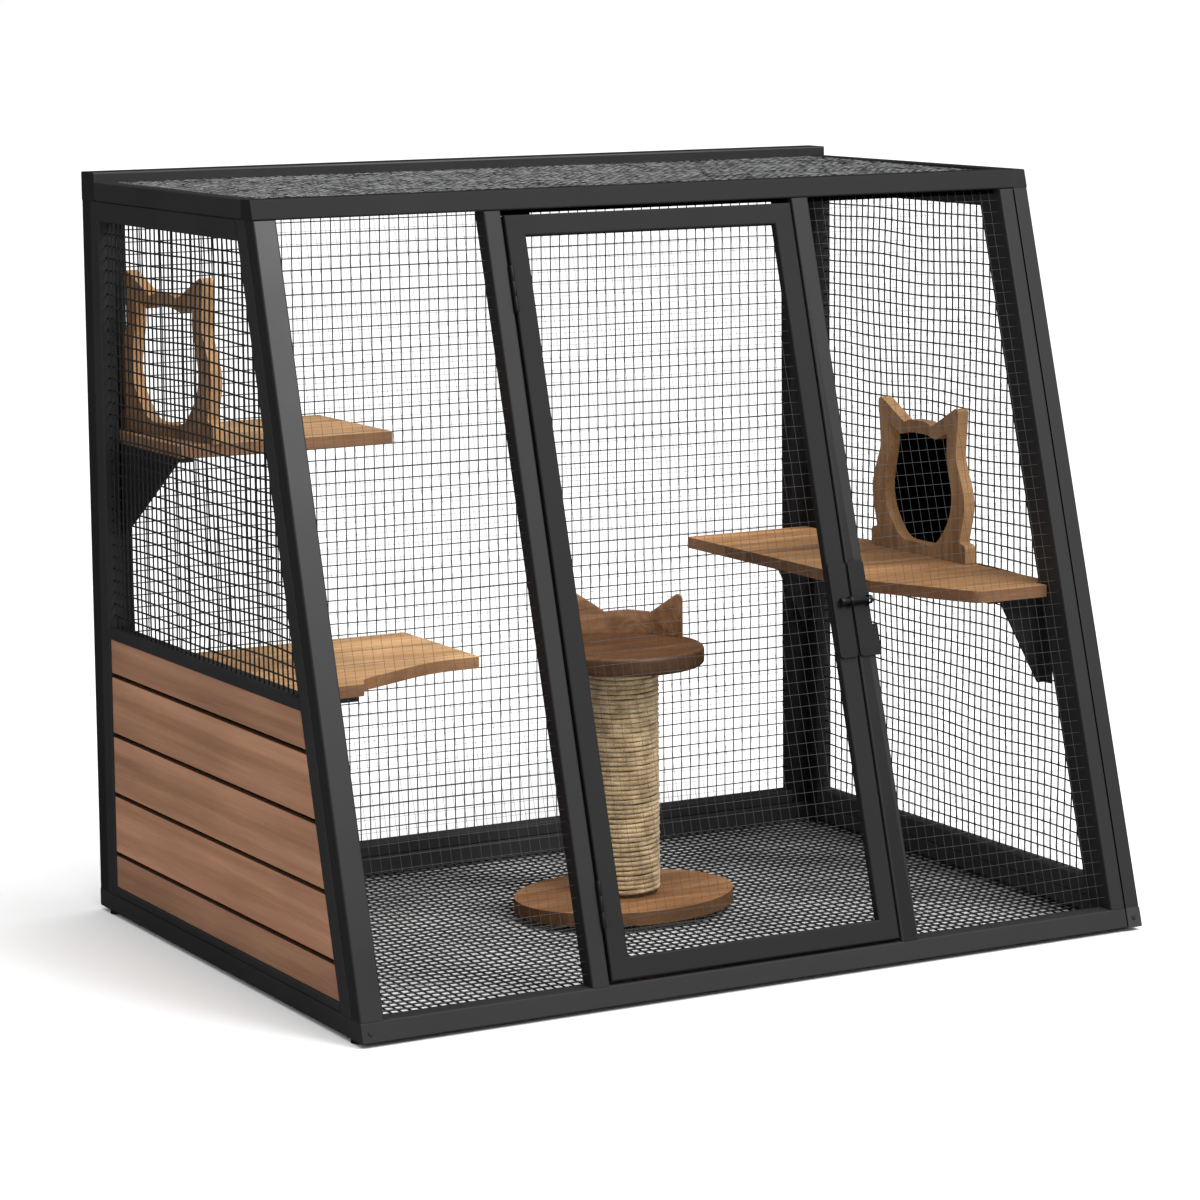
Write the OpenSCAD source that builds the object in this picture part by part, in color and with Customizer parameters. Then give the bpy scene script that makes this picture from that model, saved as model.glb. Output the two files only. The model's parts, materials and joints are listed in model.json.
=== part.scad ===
// Free-standing cat cage: metal tube frame with wire mesh, sloping front and side-hung door.
// Millimetres, Z up. The sloping front faces -Y and the door's hinges are on its left.
// The origin is on the ground, at the centre of the footprint.

/* [Cage] */
// Overall width
cage_w = 1800; // [1600:10:2000]
// Depth of the base
base_d = 1310; // [1260:10:1380]
// Depth of the roof
roof_d = 870; // [830:10:920]
// Height of the roof rails' tops above the underside of the base
cage_h = 1560; // [1500:10:1640]
// Height of the feet
foot_h = 8; // [3:1:12]
// Radius of the feet
foot_r = 17; // [10:1:17]
// Distance along the sides from the base's ends to the middles of the feet
foot_inset = 55; // [30:1:120]

/* [Frame tubes] */
// Height of the base rails and the roof rails
rail_h = 40; // [34:1:46]
// Width of the side rails and thickness of the side panels
side_t = 36; // [34:1:44]
// Depth of the base's front rail
base_front_w = 54; // [54:1:64]
// Depth of the base's rear rail
base_rear_w = 50; // [46:1:60]
// Depth of the roof's front rail
roof_front_w = 45; // [42:1:60]
// Depth of the ridge rail
ridge_d = 70; // [60:1:90]
// Height of the ridge rail
ridge_h = 60; // [50:1:80]
// Wall of every tube
wall = 1.2; // [0.8:0.1:3]
// Outside corner radius of every tube
edge_r = 3.5; // [2:0.5:5]

/* [Front frame] */
// Depth of the front posts, square to the slope
front_t = 40; // [35:1:42]
// Width of the left corner post
left_post_w = 50; // [40:1:60]
// Width of the right corner post
right_post_w = 35; // [30:1:50]
// Depth of the right corner post, square to the slope
right_post_d = 82; // [40:1:90]
// Distance from the left side to the hinge jamb
hinge_jamb_u = 497; // [440:1:540]
// Width of the hinge jamb
hinge_jamb_w = 38; // [34:1:50]
// Width of the latch jamb
latch_jamb_w = 40; // [38:1:50]

/* [Door] */
// Width of the door
door_w = 664.5; // [600:0.5:700]
// Thickness of the door's tubes
door_t = 20; // [16:1:22]
// Face width of the door's tubes
door_tube_w = 43; // [40:1:50]
// Gap between the hinge jamb and the door
hinge_gap = 6.5; // [6.5:0.5:10]
// Gap between the door and the latch jamb
latch_gap = 4; // [3:0.5:8]
// Gap along the slope above the door
door_top_gap = 9; // [4:1:15]
// Gap along the slope below the door
door_bottom_gap = 8; // [7:1:14]

/* [Hinges] */
// Length of each hinge
hinge_len = 93; // [70:1:120]
// Distance from the door's ends to the middles of the hinges
hinge_inset = 150; // [100:5:250]
// Outside radius of the knuckles
knuckle_r = 4.5; // [4:0.1:5]
// Radius of the hinge pins
pin_r = 2; // [1.5:0.1:2.5]
// Thickness of the hinge leaves
leaf_t = 2; // [1:0.1:2.2]
// Depth of the hinge leaves on the jamb and the door
leaf_d = 16; // [10:1:16]

/* [Latch] */
// Height of both latch plates along the slope
plate_h = 196; // [160:1:240]
// Distance along the slope from the base to the lower ends of the plates
plate_v = 624; // [500:1:800]
// Thickness of the latch plates
plate_t = 4; // [2:0.5:6]
// Corner radius of the latch plates
plate_r = 8; // [4:1:12]
// Distance from the plates' lower ends to the bolt
bolt_v = 114; // [60:1:150]
// Radius of the bolt
bolt_r = 6; // [4:0.5:7]
// Radius of the bolt's knob
knob_r = 7.5; // [7.5:0.5:10]
// Length of the bolt's knob
knob_len = 10; // [6:1:12]
// Radius of the hole for a padlock
padlock_r = 3; // [2:0.5:4]

/* [Side and rear panels] */
// Width of the side panels' stiles
stile_w = 45; // [40:1:55]
// Height of the side panels' top rails
side_top_h = 42; // [35:1:60]
// Height of the left panel's bottom rail
left_bottom_h = 18; // [15:1:30]
// Height of the right panel's bottom rail
right_bottom_h = 40; // [30:1:60]
// Height of the rail over the slats
mid_rail_h = 24; // [20:1:40]
// Height of the top of the slats above the underside of the base
slats_top = 595; // [560:1:660]
// Thickness of the rear panel
rear_t = 45; // [40:1:50]
// Width of the rear panel's stiles
rear_stile_w = 76; // [60:1:90]
// Height of the rear panel's top rail
rear_top_h = 40; // [30:1:60]
// Height of the rear panel's bottom rail
rear_bottom_h = 30; // [20:1:60]

/* [Slats] */
// Height of a full slat
slat_h = 120; // [110:1:130]
// Height of the lowest slat
first_slat_h = 68; // [50:1:110]
// Thickness of the slats
slat_t = 20; // [15:1:25]
// Distance from the panel's outside to the slats
slat_recess = 4; // [2:1:8]
// Gap between the slats
slat_gap = 9; // [5:1:12]

/* [Wire mesh] */
// Distance from a frame's outside to its mesh
mesh_recess = 12; // [8:1:14]
// Thickness of the mesh
mesh_t = 3; // [2:0.5:4]
// Width of a wire
wire_w = 4; // [3:0.5:6]
// Width of the mesh's border strip
border_w = 8; // [6:1:15]
// Distance of the floor mesh and the roof mesh from the base's underside and the roof's top
level_mesh_recess = 4; // [4:1:10]

/* [Shelves] */
// Thickness of the shelves
shelf_t = 25; // [18:1:30]
// Top of the upper shelf above the underside of the base
upper_shelf_z = 1036; // [980:1:1080]
// Width of the upper shelf
upper_shelf_w = 482; // [420:1:540]
// Depth of the upper shelf
upper_shelf_d = 370; // [330:1:400]
// Top of the lower shelf above the underside of the base
lower_shelf_z = 539; // [500:1:560]
// Width of the lower shelf
lower_shelf_w = 679; // [640:1:720]
// Depth of the lower shelf at the cage's side
lower_shelf_d = 535; // [500:1:580]
// Depth of the lower shelf at its free end
lower_shelf_tip_d = 370; // [330:1:400]
// Width of the deep part of the lower shelf
lower_shelf_deep_w = 326; // [290:1:350]
// Top of the right shelf above the underside of the base
right_shelf_z = 695; // [660:1:720]
// Width of the right shelf
right_shelf_w = 322; // [280:1:400]
// Distance from the rear panel to the right shelf's slanted corner
right_shelf_straight = 780; // [700:10:820]
// Width of the right shelf's front edge
right_shelf_tip_w = 211; // [180:1:260]
// Gap between the right shelf and the front frame
right_shelf_gap = 5; // [2:1:10]

/* [Brackets] */
// Thickness of a bracket's plate
bracket_t = 5; // [3:1:8]
// Width of a bracket's flanges
flange_w = 30; // [20:1:40]
// Thickness of a bracket's arm and flanges
flange_t = 10; // [4:1:12]

/* [Cat-head hoops] */
// Width of a hoop's base
hoop_w = 376; // [360:2:390]
// Height of a hoop's ears before their tips are rounded
hoop_h = 346; // [326:2:366]
// Thickness of the hoops
hoop_t = 27; // [20:1:32]
// Distance from the left side rail's inner face to the upper hoop
upper_hoop_x = 42; // [30:1:100]
// Distance from the rear panel to the upper hoop
upper_hoop_gap = 6; // [2:1:20]
// Turn of the upper hoop about its upright middle line, its rear end towards the side
upper_hoop_turn = 8; // [0:1:9]
// Distance from the rear panel to the right hoop
right_hoop_gap = 323; // [200:1:400]
// Thickness of the backing board
backing_t = 3; // [2:0.5:6]

/* [Scratching post] */
// Distance from the left side to the post's axis
post_x = 955; // [850:5:1050]
// Distance from the base's front edge to the post's axis
post_y = 705; // [600:5:800]
// Width of the oval base
post_base_w = 492; // [440:2:540]
// Depth of the oval base
post_base_d = 386; // [340:2:440]
// Thickness of the oval base
post_base_t = 30; // [20:1:40]
// Length of the column between the base and the platform
column_h = 493; // [420:1:560]
// Outside radius of the column's winding
column_r = 79; // [72:1:86]
// Rise of the winding in one turn
rope_pitch = 24; // [22:1:30]
// Radius of the winding's rope
rope_r = 12.6; // [9:0.1:12.6]
// Radius of the platform
platform_r = 175; // [160:1:190]
// Thickness of the platform
platform_t = 40; // [30:1:50]
// Thickness of the backrest
backrest_t = 15; // [10:1:20]
// Height of the backrest's ears before their tips are rounded
backrest_h = 100; // [88:1:118]
// Direction in which the backrest stands from the post's axis
backrest_turn = 56; // [0:1:90]

/* [Hidden] */

// Finishes
frame_colour = "#3b3b3b";
wire_colour = "#2a2a2a";
board_colour = "#a87545";
slat_colour = "#84624b";
post_colour = "#7c5334";
sisal_colour = "#c8ab7a";
fitting_colour = "#242424";

// Roundness of the true circles, and the angle between points on a rounded corner
$fn = 64;
corner_step = 30;
curve_step = 12;
// Overrun of a cutting shape past the face it cuts
over = 1;
// Running clearances: pin in knuckle, bolt in guide, bolt in keeper, ends of knuckles and moving faces
pin_clear = 0.05;
bolt_clear = 0.1;
keeper_clear = 1;
end_clear = 0.3;

// Main planes, measured from the base's left front lower corner
slope = atan((base_d - roof_d) / cage_h);
roof_z = cage_h - rail_h;
right_x = cage_w - side_t;
rear_y = base_d - rear_t;
ridge_y = base_d - ridge_d;
base_rear_y = base_d - base_rear_w;
roof_front_y = front_y(cage_h) + roof_front_w;
side_stile_y = rear_y - stile_w;
function front_y(z) = z * tan(slope);
// Depth at height z of the plane that lies d behind the front
function behind_y(d, z) = front_y(z) + d / cos(slope);

// Openings of the front frame: u runs across the front, v runs up its slope
base_v = rail_h / cos(slope);
roof_v = roof_z / cos(slope);
door_u = hinge_jamb_u + hinge_jamb_w + hinge_gap;
latch_jamb_u = door_u + door_w + latch_gap;
door_v0 = base_v + door_bottom_gap;
door_v1 = roof_v - door_top_gap;
right_post_u = right_x - right_post_w;
left_stile_d = front_t + stile_w;

// Places in the frame that starts at the base's left front lower corner
module in_cage(x = 0, y = 0, z = 0)
    translate([x - cage_w / 2, y - base_d / 2, z + foot_h]) children();

// Places in the leaning frame of the front: across, inwards, up the slope
module in_front(u = 0, d = 0, v = 0)
    in_cage() rotate([-slope, 0, 0]) translate([u, d, v]) children();

// Rounded outlines: each corner is [x, y, radius], in order around the shape
function unit(v) = v / norm(v);
function corner_arc(a, b, c, r, step) =
    r == 0 ? [b] :
    let(u = unit(a - b), w = unit(c - b), half = acos(u * w) / 2,
        centre = b + unit(u + w) * r / sin(half),
        start = b + u * r / tan(half) - centre,
        from = atan2(start.y, start.x),
        turn = cross(b - a, c - b) > 0 ? 180 - 2 * half : 2 * half - 180,
        n = max(1, ceil(abs(turn) / step)))
    [for (k = [0:n]) centre + r * [cos(from + turn * k / n), sin(from + turn * k / n)]];
function flat(p) = [p.x, p.y];
function outline(corners, step = curve_step) =
    let(n = len(corners))
    [for (i = [0:n - 1]) each corner_arc(flat(corners[(i + n - 1) % n]), flat(corners[i]),
        flat(corners[(i + 1) % n]), corners[i].z, step)];
function box_outline(w, h, r) = outline([[0, 0, r], [w, 0, r], [w, h, r], [0, h, r]], corner_step);
function oval(a, b, n) = [for (k = [0:n - 1]) [a * cos(360 * k / n), b * sin(360 * k / n)]];

// Tube with rounded corners along Z, closed by a wall at either end if asked
module tube(w, d, len, shut_start = false, shut_end = false) {
    bore_start = shut_start ? wall : -over;
    bore_end = shut_end ? len - wall : len + over;
    difference() {
        linear_extrude(len) polygon(box_outline(w, d, edge_r));
        translate([wall, wall, bore_start])
            cube([w - 2 * wall, d - 2 * wall, bore_end - bore_start]);
    }
}

// The same tube along X and along Y, with its width across and its height up
module tube_x(len, d, h, shut_start = false, shut_end = false)
    rotate([90, 0, 90]) tube(d, h, len, shut_start, shut_end);
module tube_y(len, w, h, shut_start = false, shut_end = false)
    translate([0, len, 0]) rotate([90, 0, 0]) tube(w, h, len, shut_end, shut_start);
module bar_y(len, w, h, r)
    translate([0, len, 0]) rotate([90, 0, 0]) linear_extrude(len) polygon(box_outline(w, h, r));

// Everything that lies at least d behind the sloping front
module behind_front(d = 0)
    in_front(-over, d, -cage_h) cube([cage_w + 2 * over, 2 * base_d, 3 * cage_h]);

// Everything between two heights
module between(z0, z1)
    in_cage(-over, -base_d, z0) cube([cage_w + 2 * over, 3 * base_d, z1 - z0]);

// Tube that leans with the front and is cut level between the base and the roof
module leaning_tube(u, d, w, depth)
    intersection() {
        in_front(u, d, -cage_h / 2) tube(w, depth, 2 * cage_h);
        between(rail_h, roof_z);
    }

// Rail across the front, with its face on the slope and its left end closed
function sloped_section(z0, z1, back, t) = [
    [behind_y(t, z0 + t), z0 + t], [back - t, z0 + t],
    [back - t, z1 - t], [behind_y(t, z1 - t), z1 - t]];
module sloped_rail(z0, z1, back)
    in_cage() rotate([90, 0, 90]) difference() {
        linear_extrude(right_x)
            polygon(outline([for (p = sloped_section(z0, z1, back, 0)) [p.x, p.y, edge_r]], corner_step));
        translate([0, 0, wall]) linear_extrude(right_x) polygon(sloped_section(z0, z1, back, wall));
    }

// Side rail that starts on the slope, with its front end closed
module sloped_side_rail(x, z, back)
    intersection() {
        in_cage(x, 0, z) difference() {
            translate([0, -over, 0]) bar_y(back + over, side_t, rail_h, edge_r);
            translate([wall, front_y(z + rail_h) + wall, wall])
                cube([side_t - 2 * wall, back, rail_h - 2 * wall]);
        }
        behind_front();
    }

// Base frame: each rail's end butts on the next rail's side
module base_front_rail() color(frame_colour) sloped_rail(0, rail_h, base_front_w);
module base_left_rail() color(frame_colour)
    in_cage(0, base_front_w, 0) tube_y(base_d - base_front_w, side_t, rail_h, false, true);
module base_right_rail() color(frame_colour) sloped_side_rail(right_x, 0, base_rear_y);
module base_rear_rail() color(frame_colour)
    in_cage(side_t, base_rear_y, 0) tube_x(cage_w - side_t, base_rear_w, rail_h, false, true);

// Roof frame, with the deeper ridge rail standing proud at the rear
module roof_front_rail() color(frame_colour) sloped_rail(roof_z, cage_h, roof_front_y);
module roof_left_rail() color(frame_colour)
    in_cage(0, roof_front_y, roof_z) tube_y(ridge_y - roof_front_y, side_t, rail_h);
module roof_right_rail() color(frame_colour) sloped_side_rail(right_x, roof_z, ridge_y);
module ridge_rail() color(frame_colour)
    in_cage(0, ridge_y, roof_z) tube_x(cage_w, ridge_d, ridge_h, true, false);
plug_len = 20;
module ridge_plug() color(fitting_colour)
    in_cage(cage_w - plug_len, ridge_y + wall, roof_z + wall)
        cube([plug_len, ridge_d - 2 * wall, ridge_h - 2 * wall]);

// Posts and jambs of the sloping front
module left_corner_post() color(frame_colour) leaning_tube(0, 0, left_post_w, front_t);
module hinge_jamb() color(frame_colour) leaning_tube(hinge_jamb_u, 0, hinge_jamb_w, front_t);
module latch_jamb() color(frame_colour) leaning_tube(latch_jamb_u, 0, latch_jamb_w, front_t);
module right_corner_post() color(frame_colour) leaning_tube(right_post_u, 0, right_post_w, right_post_d);

// Side panels: the left one stands behind the corner post, the right one beside it
module side_rail(x, z, h, front_d)
    intersection() {
        in_cage(x, 0, z) tube_y(side_stile_y, side_t, h);
        behind_front(front_d);
    }
module side_rear_stile(x)
    in_cage(x, side_stile_y, rail_h) tube(side_t, stile_w, roof_z - rail_h);
module left_front_stile() color(frame_colour) leaning_tube(0, front_t, side_t, stile_w);
module left_rear_stile() color(frame_colour) side_rear_stile(0);
module left_top_rail() color(frame_colour) side_rail(0, roof_z - side_top_h, side_top_h, left_stile_d);
module left_mid_rail() color(frame_colour) side_rail(0, slats_top, mid_rail_h, left_stile_d);
module left_bottom_rail() color(frame_colour) side_rail(0, rail_h, left_bottom_h, left_stile_d);
module right_front_stile() color(frame_colour) leaning_tube(right_x, 0, side_t, stile_w);
module right_rear_stile() color(frame_colour) side_rear_stile(right_x);
module right_top_rail() color(frame_colour) side_rail(right_x, roof_z - side_top_h, side_top_h, stile_w);
module right_bottom_rail() color(frame_colour) side_rail(right_x, rail_h, right_bottom_h, stile_w);

// Rear panel, which covers the side panels' rear edges
rear_rail_len = cage_w - 2 * rear_stile_w;
module rear_stile(x)
    in_cage(x, rear_y, rail_h) tube(rear_stile_w, rear_t, roof_z - rail_h);
module rear_left_stile() color(frame_colour) rear_stile(0);
module rear_right_stile() color(frame_colour) rear_stile(cage_w - rear_stile_w);
module rear_top_rail() color(frame_colour)
    in_cage(rear_stile_w, rear_y, roof_z - rear_top_h) tube_x(rear_rail_len, rear_t, rear_top_h);
module rear_bottom_rail() color(frame_colour)
    in_cage(rear_stile_w, rear_y, rail_h) tube_x(rear_rail_len, rear_t, rear_bottom_h);

// Slats stacked upwards from the left panel's bottom rail, the last one cut to fit
slats_z = rail_h + left_bottom_h;
slat_pitch = slat_h + slat_gap;
slat_count = 1 + ceil((slats_top - slats_z - first_slat_h - slat_gap) / slat_pitch);
slat_edge_r = 2;
function slat_z(i) = slats_z + (i == 0 ? 0 : first_slat_h + slat_gap + (i - 1) * slat_pitch);
function slat_end(i) = min(slats_top, slat_z(i) + (i == 0 ? first_slat_h : slat_h));
module side_slats() color(slat_colour)
    for (i = [0:slat_count - 1])
        intersection() {
            in_cage(slat_recess, 0, slat_z(i))
                bar_y(side_stile_y, slat_t, slat_end(i) - slat_z(i), slat_edge_r);
            behind_front(left_stile_d);
        }

// Wire mesh: one net of crossing wires inside a border strip, filling a given outline
// front_lean is the outline's drift at its left edge for each unit of height
module net(w, h, nx, ny, front_lean = 0) {
    step_x = (w - 2 * border_w + wire_w) / nx;
    step_y = (h - 2 * border_w + wire_w) / ny;
    inset = border_w * sqrt(1 + front_lean * front_lean);
    linear_extrude(mesh_t) difference() {
        polygon([[0, 0], [w, 0], [w, h], [front_lean * h, h]]);
        intersection() {
            polygon([[inset, 0], [w, 0], [w, h], [inset + front_lean * h, h]]);
            for (i = [0:nx - 1], j = [0:ny - 1])
                translate([border_w + i * step_x, border_w + j * step_y])
                    square([step_x - wire_w, step_y - wire_w]);
        }
    }
}

// Side nets: u runs to the rear, so the leaning edge is at the left of the outline
side_mesh_top = roof_z - side_top_h;
module side_net(x, z, front_d, nx, ny) {
    start = behind_y(front_d, z);
    in_cage(x, start, z) rotate([90, 0, 90])
        net(side_stile_y - start, side_mesh_top - z, nx, ny, tan(slope));
}
left_mesh_z = slats_top + mid_rail_h;
right_mesh_z = rail_h + right_bottom_h;
module left_mesh() color(wire_colour) side_net(mesh_recess, left_mesh_z, left_stile_d, 4, 4);
module right_mesh() color(wire_colour)
    side_net(cage_w - mesh_recess - mesh_t, right_mesh_z, stile_w, 5, 7);
module rear_mesh() color(wire_colour)
    in_cage(rear_stile_w, base_d - mesh_recess, rail_h + rear_bottom_h) rotate([90, 0, 0])
        net(rear_rail_len, roof_z - rail_h - rear_bottom_h - rear_top_h, 8, 7);
module roof_mesh() color(wire_colour)
    in_cage(side_t, roof_front_y, cage_h - level_mesh_recess - mesh_t)
        net(right_x - side_t, ridge_y - roof_front_y, 8, 4);
module floor_mesh() color(wire_colour)
    in_cage(side_t, base_front_w, level_mesh_recess)
        net(right_x - side_t, base_rear_y - base_front_w, 8, 6);

// Front nets lie in the slope, between the posts and from the base to the roof
module front_net(u0, u1, nx, ny) {
    v0 = base_v + (mesh_recess + mesh_t) * tan(slope);
    v1 = roof_v + mesh_recess * tan(slope);
    in_front(u0, mesh_recess + mesh_t, v0) rotate([90, 0, 0]) net(u1 - u0, v1 - v0, nx, ny);
}
module front_left_mesh() color(wire_colour) front_net(left_post_w, hinge_jamb_u, 3, 8);
module front_right_mesh() color(wire_colour) front_net(latch_jamb_u + latch_jamb_w, right_post_u, 3, 8);

// Door: four tubes mitred at the corners round a net
door_h = door_v1 - door_v0;
module mitre(points)
    translate([0, door_t + over, 0]) rotate([90, 0, 0]) linear_extrude(door_t + 2 * over) polygon(points);
module door_stile(side)
    in_front(door_u, 0, door_v0) intersection() {
        translate([side * (door_w - door_tube_w), 0, 0]) tube(door_tube_w, door_t, door_h);
        mitre(side == 0 ?
            [[0, 0], [door_tube_w, door_tube_w], [door_tube_w, door_h - door_tube_w], [0, door_h]] :
            [[door_w, 0], [door_w, door_h], [door_w - door_tube_w, door_h - door_tube_w],
             [door_w - door_tube_w, door_tube_w]]);
    }
module door_rail(end)
    in_front(door_u, 0, door_v0) intersection() {
        translate([0, 0, end * (door_h - door_tube_w)]) tube_x(door_w, door_t, door_tube_w);
        mitre(end == 0 ?
            [[0, 0], [door_w, 0], [door_w - door_tube_w, door_tube_w], [door_tube_w, door_tube_w]] :
            [[0, door_h], [door_tube_w, door_h - door_tube_w],
             [door_w - door_tube_w, door_h - door_tube_w], [door_w, door_h]]);
    }
module door_hinge_stile() color(frame_colour) door_stile(0);
module door_latch_stile() color(frame_colour) door_stile(1);
module door_bottom_rail() color(frame_colour) door_rail(0);
module door_top_rail() color(frame_colour) door_rail(1);
module door_mesh() color(wire_colour)
    in_front(door_u + door_tube_w, (door_t + mesh_t) / 2, door_v0 + door_tube_w) rotate([90, 0, 0])
        net(door_w - 2 * door_tube_w, door_h - 2 * door_tube_w, 3, 7);

// Hinges: three knuckles each round a pin in front of the gap, leaves inside the gap
hinge_u = door_u - hinge_gap / 2;
hinge_d = -knuckle_r - end_clear;
knuckle_len = (hinge_len - 2 * end_clear) / 3;
hinge_starts = [door_v0 + hinge_inset - hinge_len / 2, door_v1 - hinge_inset - hinge_len / 2];
module knuckle(k)
    translate([0, 0, k * (knuckle_len + end_clear)]) cylinder(r = knuckle_r, h = knuckle_len);
module leaf(knuckles, face_u)
    for (v = hinge_starts)
        in_front(0, 0, v) difference() {
            union() {
                translate([face_u, end_clear, 0]) cube([leaf_t, leaf_d, hinge_len]);
                for (k = knuckles) {
                    translate([face_u, hinge_d, k * (knuckle_len + end_clear)])
                        cube([leaf_t, end_clear + over - hinge_d, knuckle_len]);
                    translate([hinge_u, hinge_d, 0]) knuckle(k);
                }
            }
            translate([hinge_u, hinge_d, -over])
                cylinder(r = pin_r + pin_clear, h = hinge_len + 2 * over);
        }
module jamb_hinge_leaves() color(fitting_colour) leaf([0, 2], hinge_jamb_u + hinge_jamb_w);
module door_hinge_leaves() color(fitting_colour) leaf([1], door_u - leaf_t);
module hinge_pins() color(fitting_colour)
    for (v = hinge_starts) in_front(hinge_u, hinge_d, v) cylinder(r = pin_r, h = hinge_len);

// Latch: a bolt slides across the gap, through a guide on the door and a keeper on the jamb
plate_side = 1;
door_plate_w = door_tube_w - plate_side;
jamb_plate_w = latch_jamb_w - 2 * plate_side;
door_plate_u = door_u + door_w - door_tube_w;
jamb_plate_u = latch_jamb_u + plate_side;
bolt_d = -plate_t - knob_r - over;
guide_w = 7;
guide_rim = 3;
keeper_w = 6;
knob_gap = 11;
tip_gap = 1;
padlock_tab_w = 12;
padlock_tab_h = 64;
guide_u = door_plate_u + door_plate_w - guide_w;
keeper_u = jamb_plate_u + jamb_plate_w - keeper_w;
knob_u = guide_u - knob_gap - knob_len;
padlock_u = jamb_plate_u + jamb_plate_w + padlock_tab_w / 2;
padlock_v = plate_v + padlock_tab_h - padlock_tab_w / 2;
module plate(w, h, r)
    rotate([90, 0, 0]) linear_extrude(plate_t) polygon(outline([[0, 0, r], [w, 0, r], [w, h, r], [0, h, r]]));
module bolt_eye(w)
    rotate([0, 90, 0]) {
        cylinder(r = bolt_r + guide_rim, h = w);
        translate([-bolt_r - guide_rim, 0, 0]) cube([2 * (bolt_r + guide_rim), -bolt_d - plate_t / 2, w]);
    }
module bolt_hole(w, clear)
    translate([-over, 0, 0]) rotate([0, 90, 0]) cylinder(r = bolt_r + clear, h = w + 2 * over);
module latch_plate() color(fitting_colour)
    difference() {
        union() {
            in_front(door_plate_u, 0, plate_v) plate(door_plate_w, plate_h, plate_r);
            in_front(guide_u, bolt_d, plate_v + bolt_v) bolt_eye(guide_w);
        }
        in_front(guide_u, bolt_d, plate_v + bolt_v) bolt_hole(guide_w, bolt_clear);
    }
module jamb_plate() color(fitting_colour)
    difference() {
        union() {
            in_front(jamb_plate_u, 0, plate_v) plate(jamb_plate_w, plate_h, plate_r);
            in_front(keeper_u, bolt_d, plate_v + bolt_v) bolt_eye(keeper_w);
            in_front(jamb_plate_u + jamb_plate_w / 2, 0, plate_v)
                plate(jamb_plate_w / 2 + padlock_tab_w, padlock_tab_h, padlock_r);
        }
        in_front(keeper_u, bolt_d, plate_v + bolt_v) bolt_hole(keeper_w, keeper_clear);
        in_front(padlock_u, over, padlock_v) rotate([90, 0, 0])
            cylinder(r = padlock_r, h = plate_t + 2 * over);
    }
module latch_bolt() color(fitting_colour)
    in_front(knob_u, bolt_d, plate_v + bolt_v) rotate([0, 90, 0]) {
        cylinder(r = knob_r, h = knob_len);
        cylinder(r = bolt_r, h = keeper_u - tip_gap - knob_u);
    }

// Shelves, each with its back against the rear panel
shelf_corner_r = 8;
module shelf(z, corners)
    in_cage(0, 0, z - shelf_t) linear_extrude(shelf_t) polygon(outline(corners));
upper_shelf_y = rear_y - upper_shelf_d;
module upper_shelf() color(board_colour)
    shelf(upper_shelf_z, [[side_t, upper_shelf_y, 0], [side_t + upper_shelf_w, upper_shelf_y, shelf_corner_r],
        [side_t + upper_shelf_w, rear_y, shelf_corner_r], [side_t, rear_y, 0]]);

// The lower shelf's front edge steps back in a hollow curve towards its free end
hollow_w = 24;
hollow_d = 55;
hollow_r = 60;
swell_w = 240;
swell_r = 260;
module lower_shelf() color(board_colour) {
    end_x = side_t + lower_shelf_w;
    deep_x = side_t + lower_shelf_deep_w;
    deep_y = rear_y - lower_shelf_d;
    tip_y = rear_y - lower_shelf_tip_d;
    shelf(lower_shelf_z, [[side_t, deep_y, 0], [deep_x, deep_y, shelf_corner_r],
        [deep_x + hollow_w, deep_y + hollow_d, hollow_r],
        [deep_x + swell_w, tip_y, swell_r],
        [end_x, tip_y, shelf_corner_r], [end_x, rear_y, shelf_corner_r], [side_t, rear_y, 0]]);
}

// The right shelf narrows towards the front along a slanted edge and is notched round the deep corner post
right_shelf_y = behind_y(front_t, right_shelf_z) + right_shelf_gap;
right_notch_x = right_post_u - right_shelf_gap;
right_notch_y = behind_y(right_post_d, right_shelf_z) + right_shelf_gap;
slant_r = 30;
module right_shelf() color(board_colour)
    shelf(right_shelf_z, [[right_notch_x, right_shelf_y, 0], [right_notch_x, right_notch_y, 0],
        [right_x, right_notch_y, 0], [right_x, rear_y, 0],
        [right_x - right_shelf_w, rear_y, shelf_corner_r],
        [right_x - right_shelf_w, rear_y - right_shelf_straight, slant_r],
        [right_x - right_shelf_tip_w, right_shelf_y, slant_r]]);

// Cat-head hoop: half outlines from the bottom up, mirrored about the middle
hoop_half = hoop_w / 2;
hoop_foot_w = 24;
hoop_foot_h = 42;
cheek_h = hoop_foot_h + 93;
temple_h = hoop_h - 116;
crown_h = hoop_h - 47;
ear_inset = 27;
hoop_outer = [[hoop_half, 0, 4], [hoop_half, hoop_foot_h, 12], [hoop_half - hoop_foot_w, hoop_foot_h + 2, 6],
    [hoop_half + 2, cheek_h, 100], [hoop_half - 39, temple_h, 60],
    [hoop_half - ear_inset, hoop_h, 10], [55, crown_h - 8, 4], [30, crown_h, 60]];
hoop_floor = 27;
hoop_band = 28;
hoop_inner = [[70, hoop_floor, 64], [hoop_half - 43, cheek_h - 23, 110], [hoop_half - 75, temple_h + 2, 90],
    [hoop_half - 72, crown_h - 16, 5], [68, crown_h - hoop_band - 8, 4], [34, crown_h - hoop_band, 60]];
function mirrored(half) =
    [for (p = half) p, for (k = [len(half) - 1:-1:0]) [-half[k].x, half[k].y, half[k].z]];
module cat_head(thick)
    rotate([90, 0, 90]) linear_extrude(thick) difference() {
        polygon(outline(mirrored(hoop_outer)));
        polygon(outline(mirrored(hoop_inner)));
    }
upper_hoop_y = rear_y - upper_hoop_gap - hoop_half;
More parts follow.
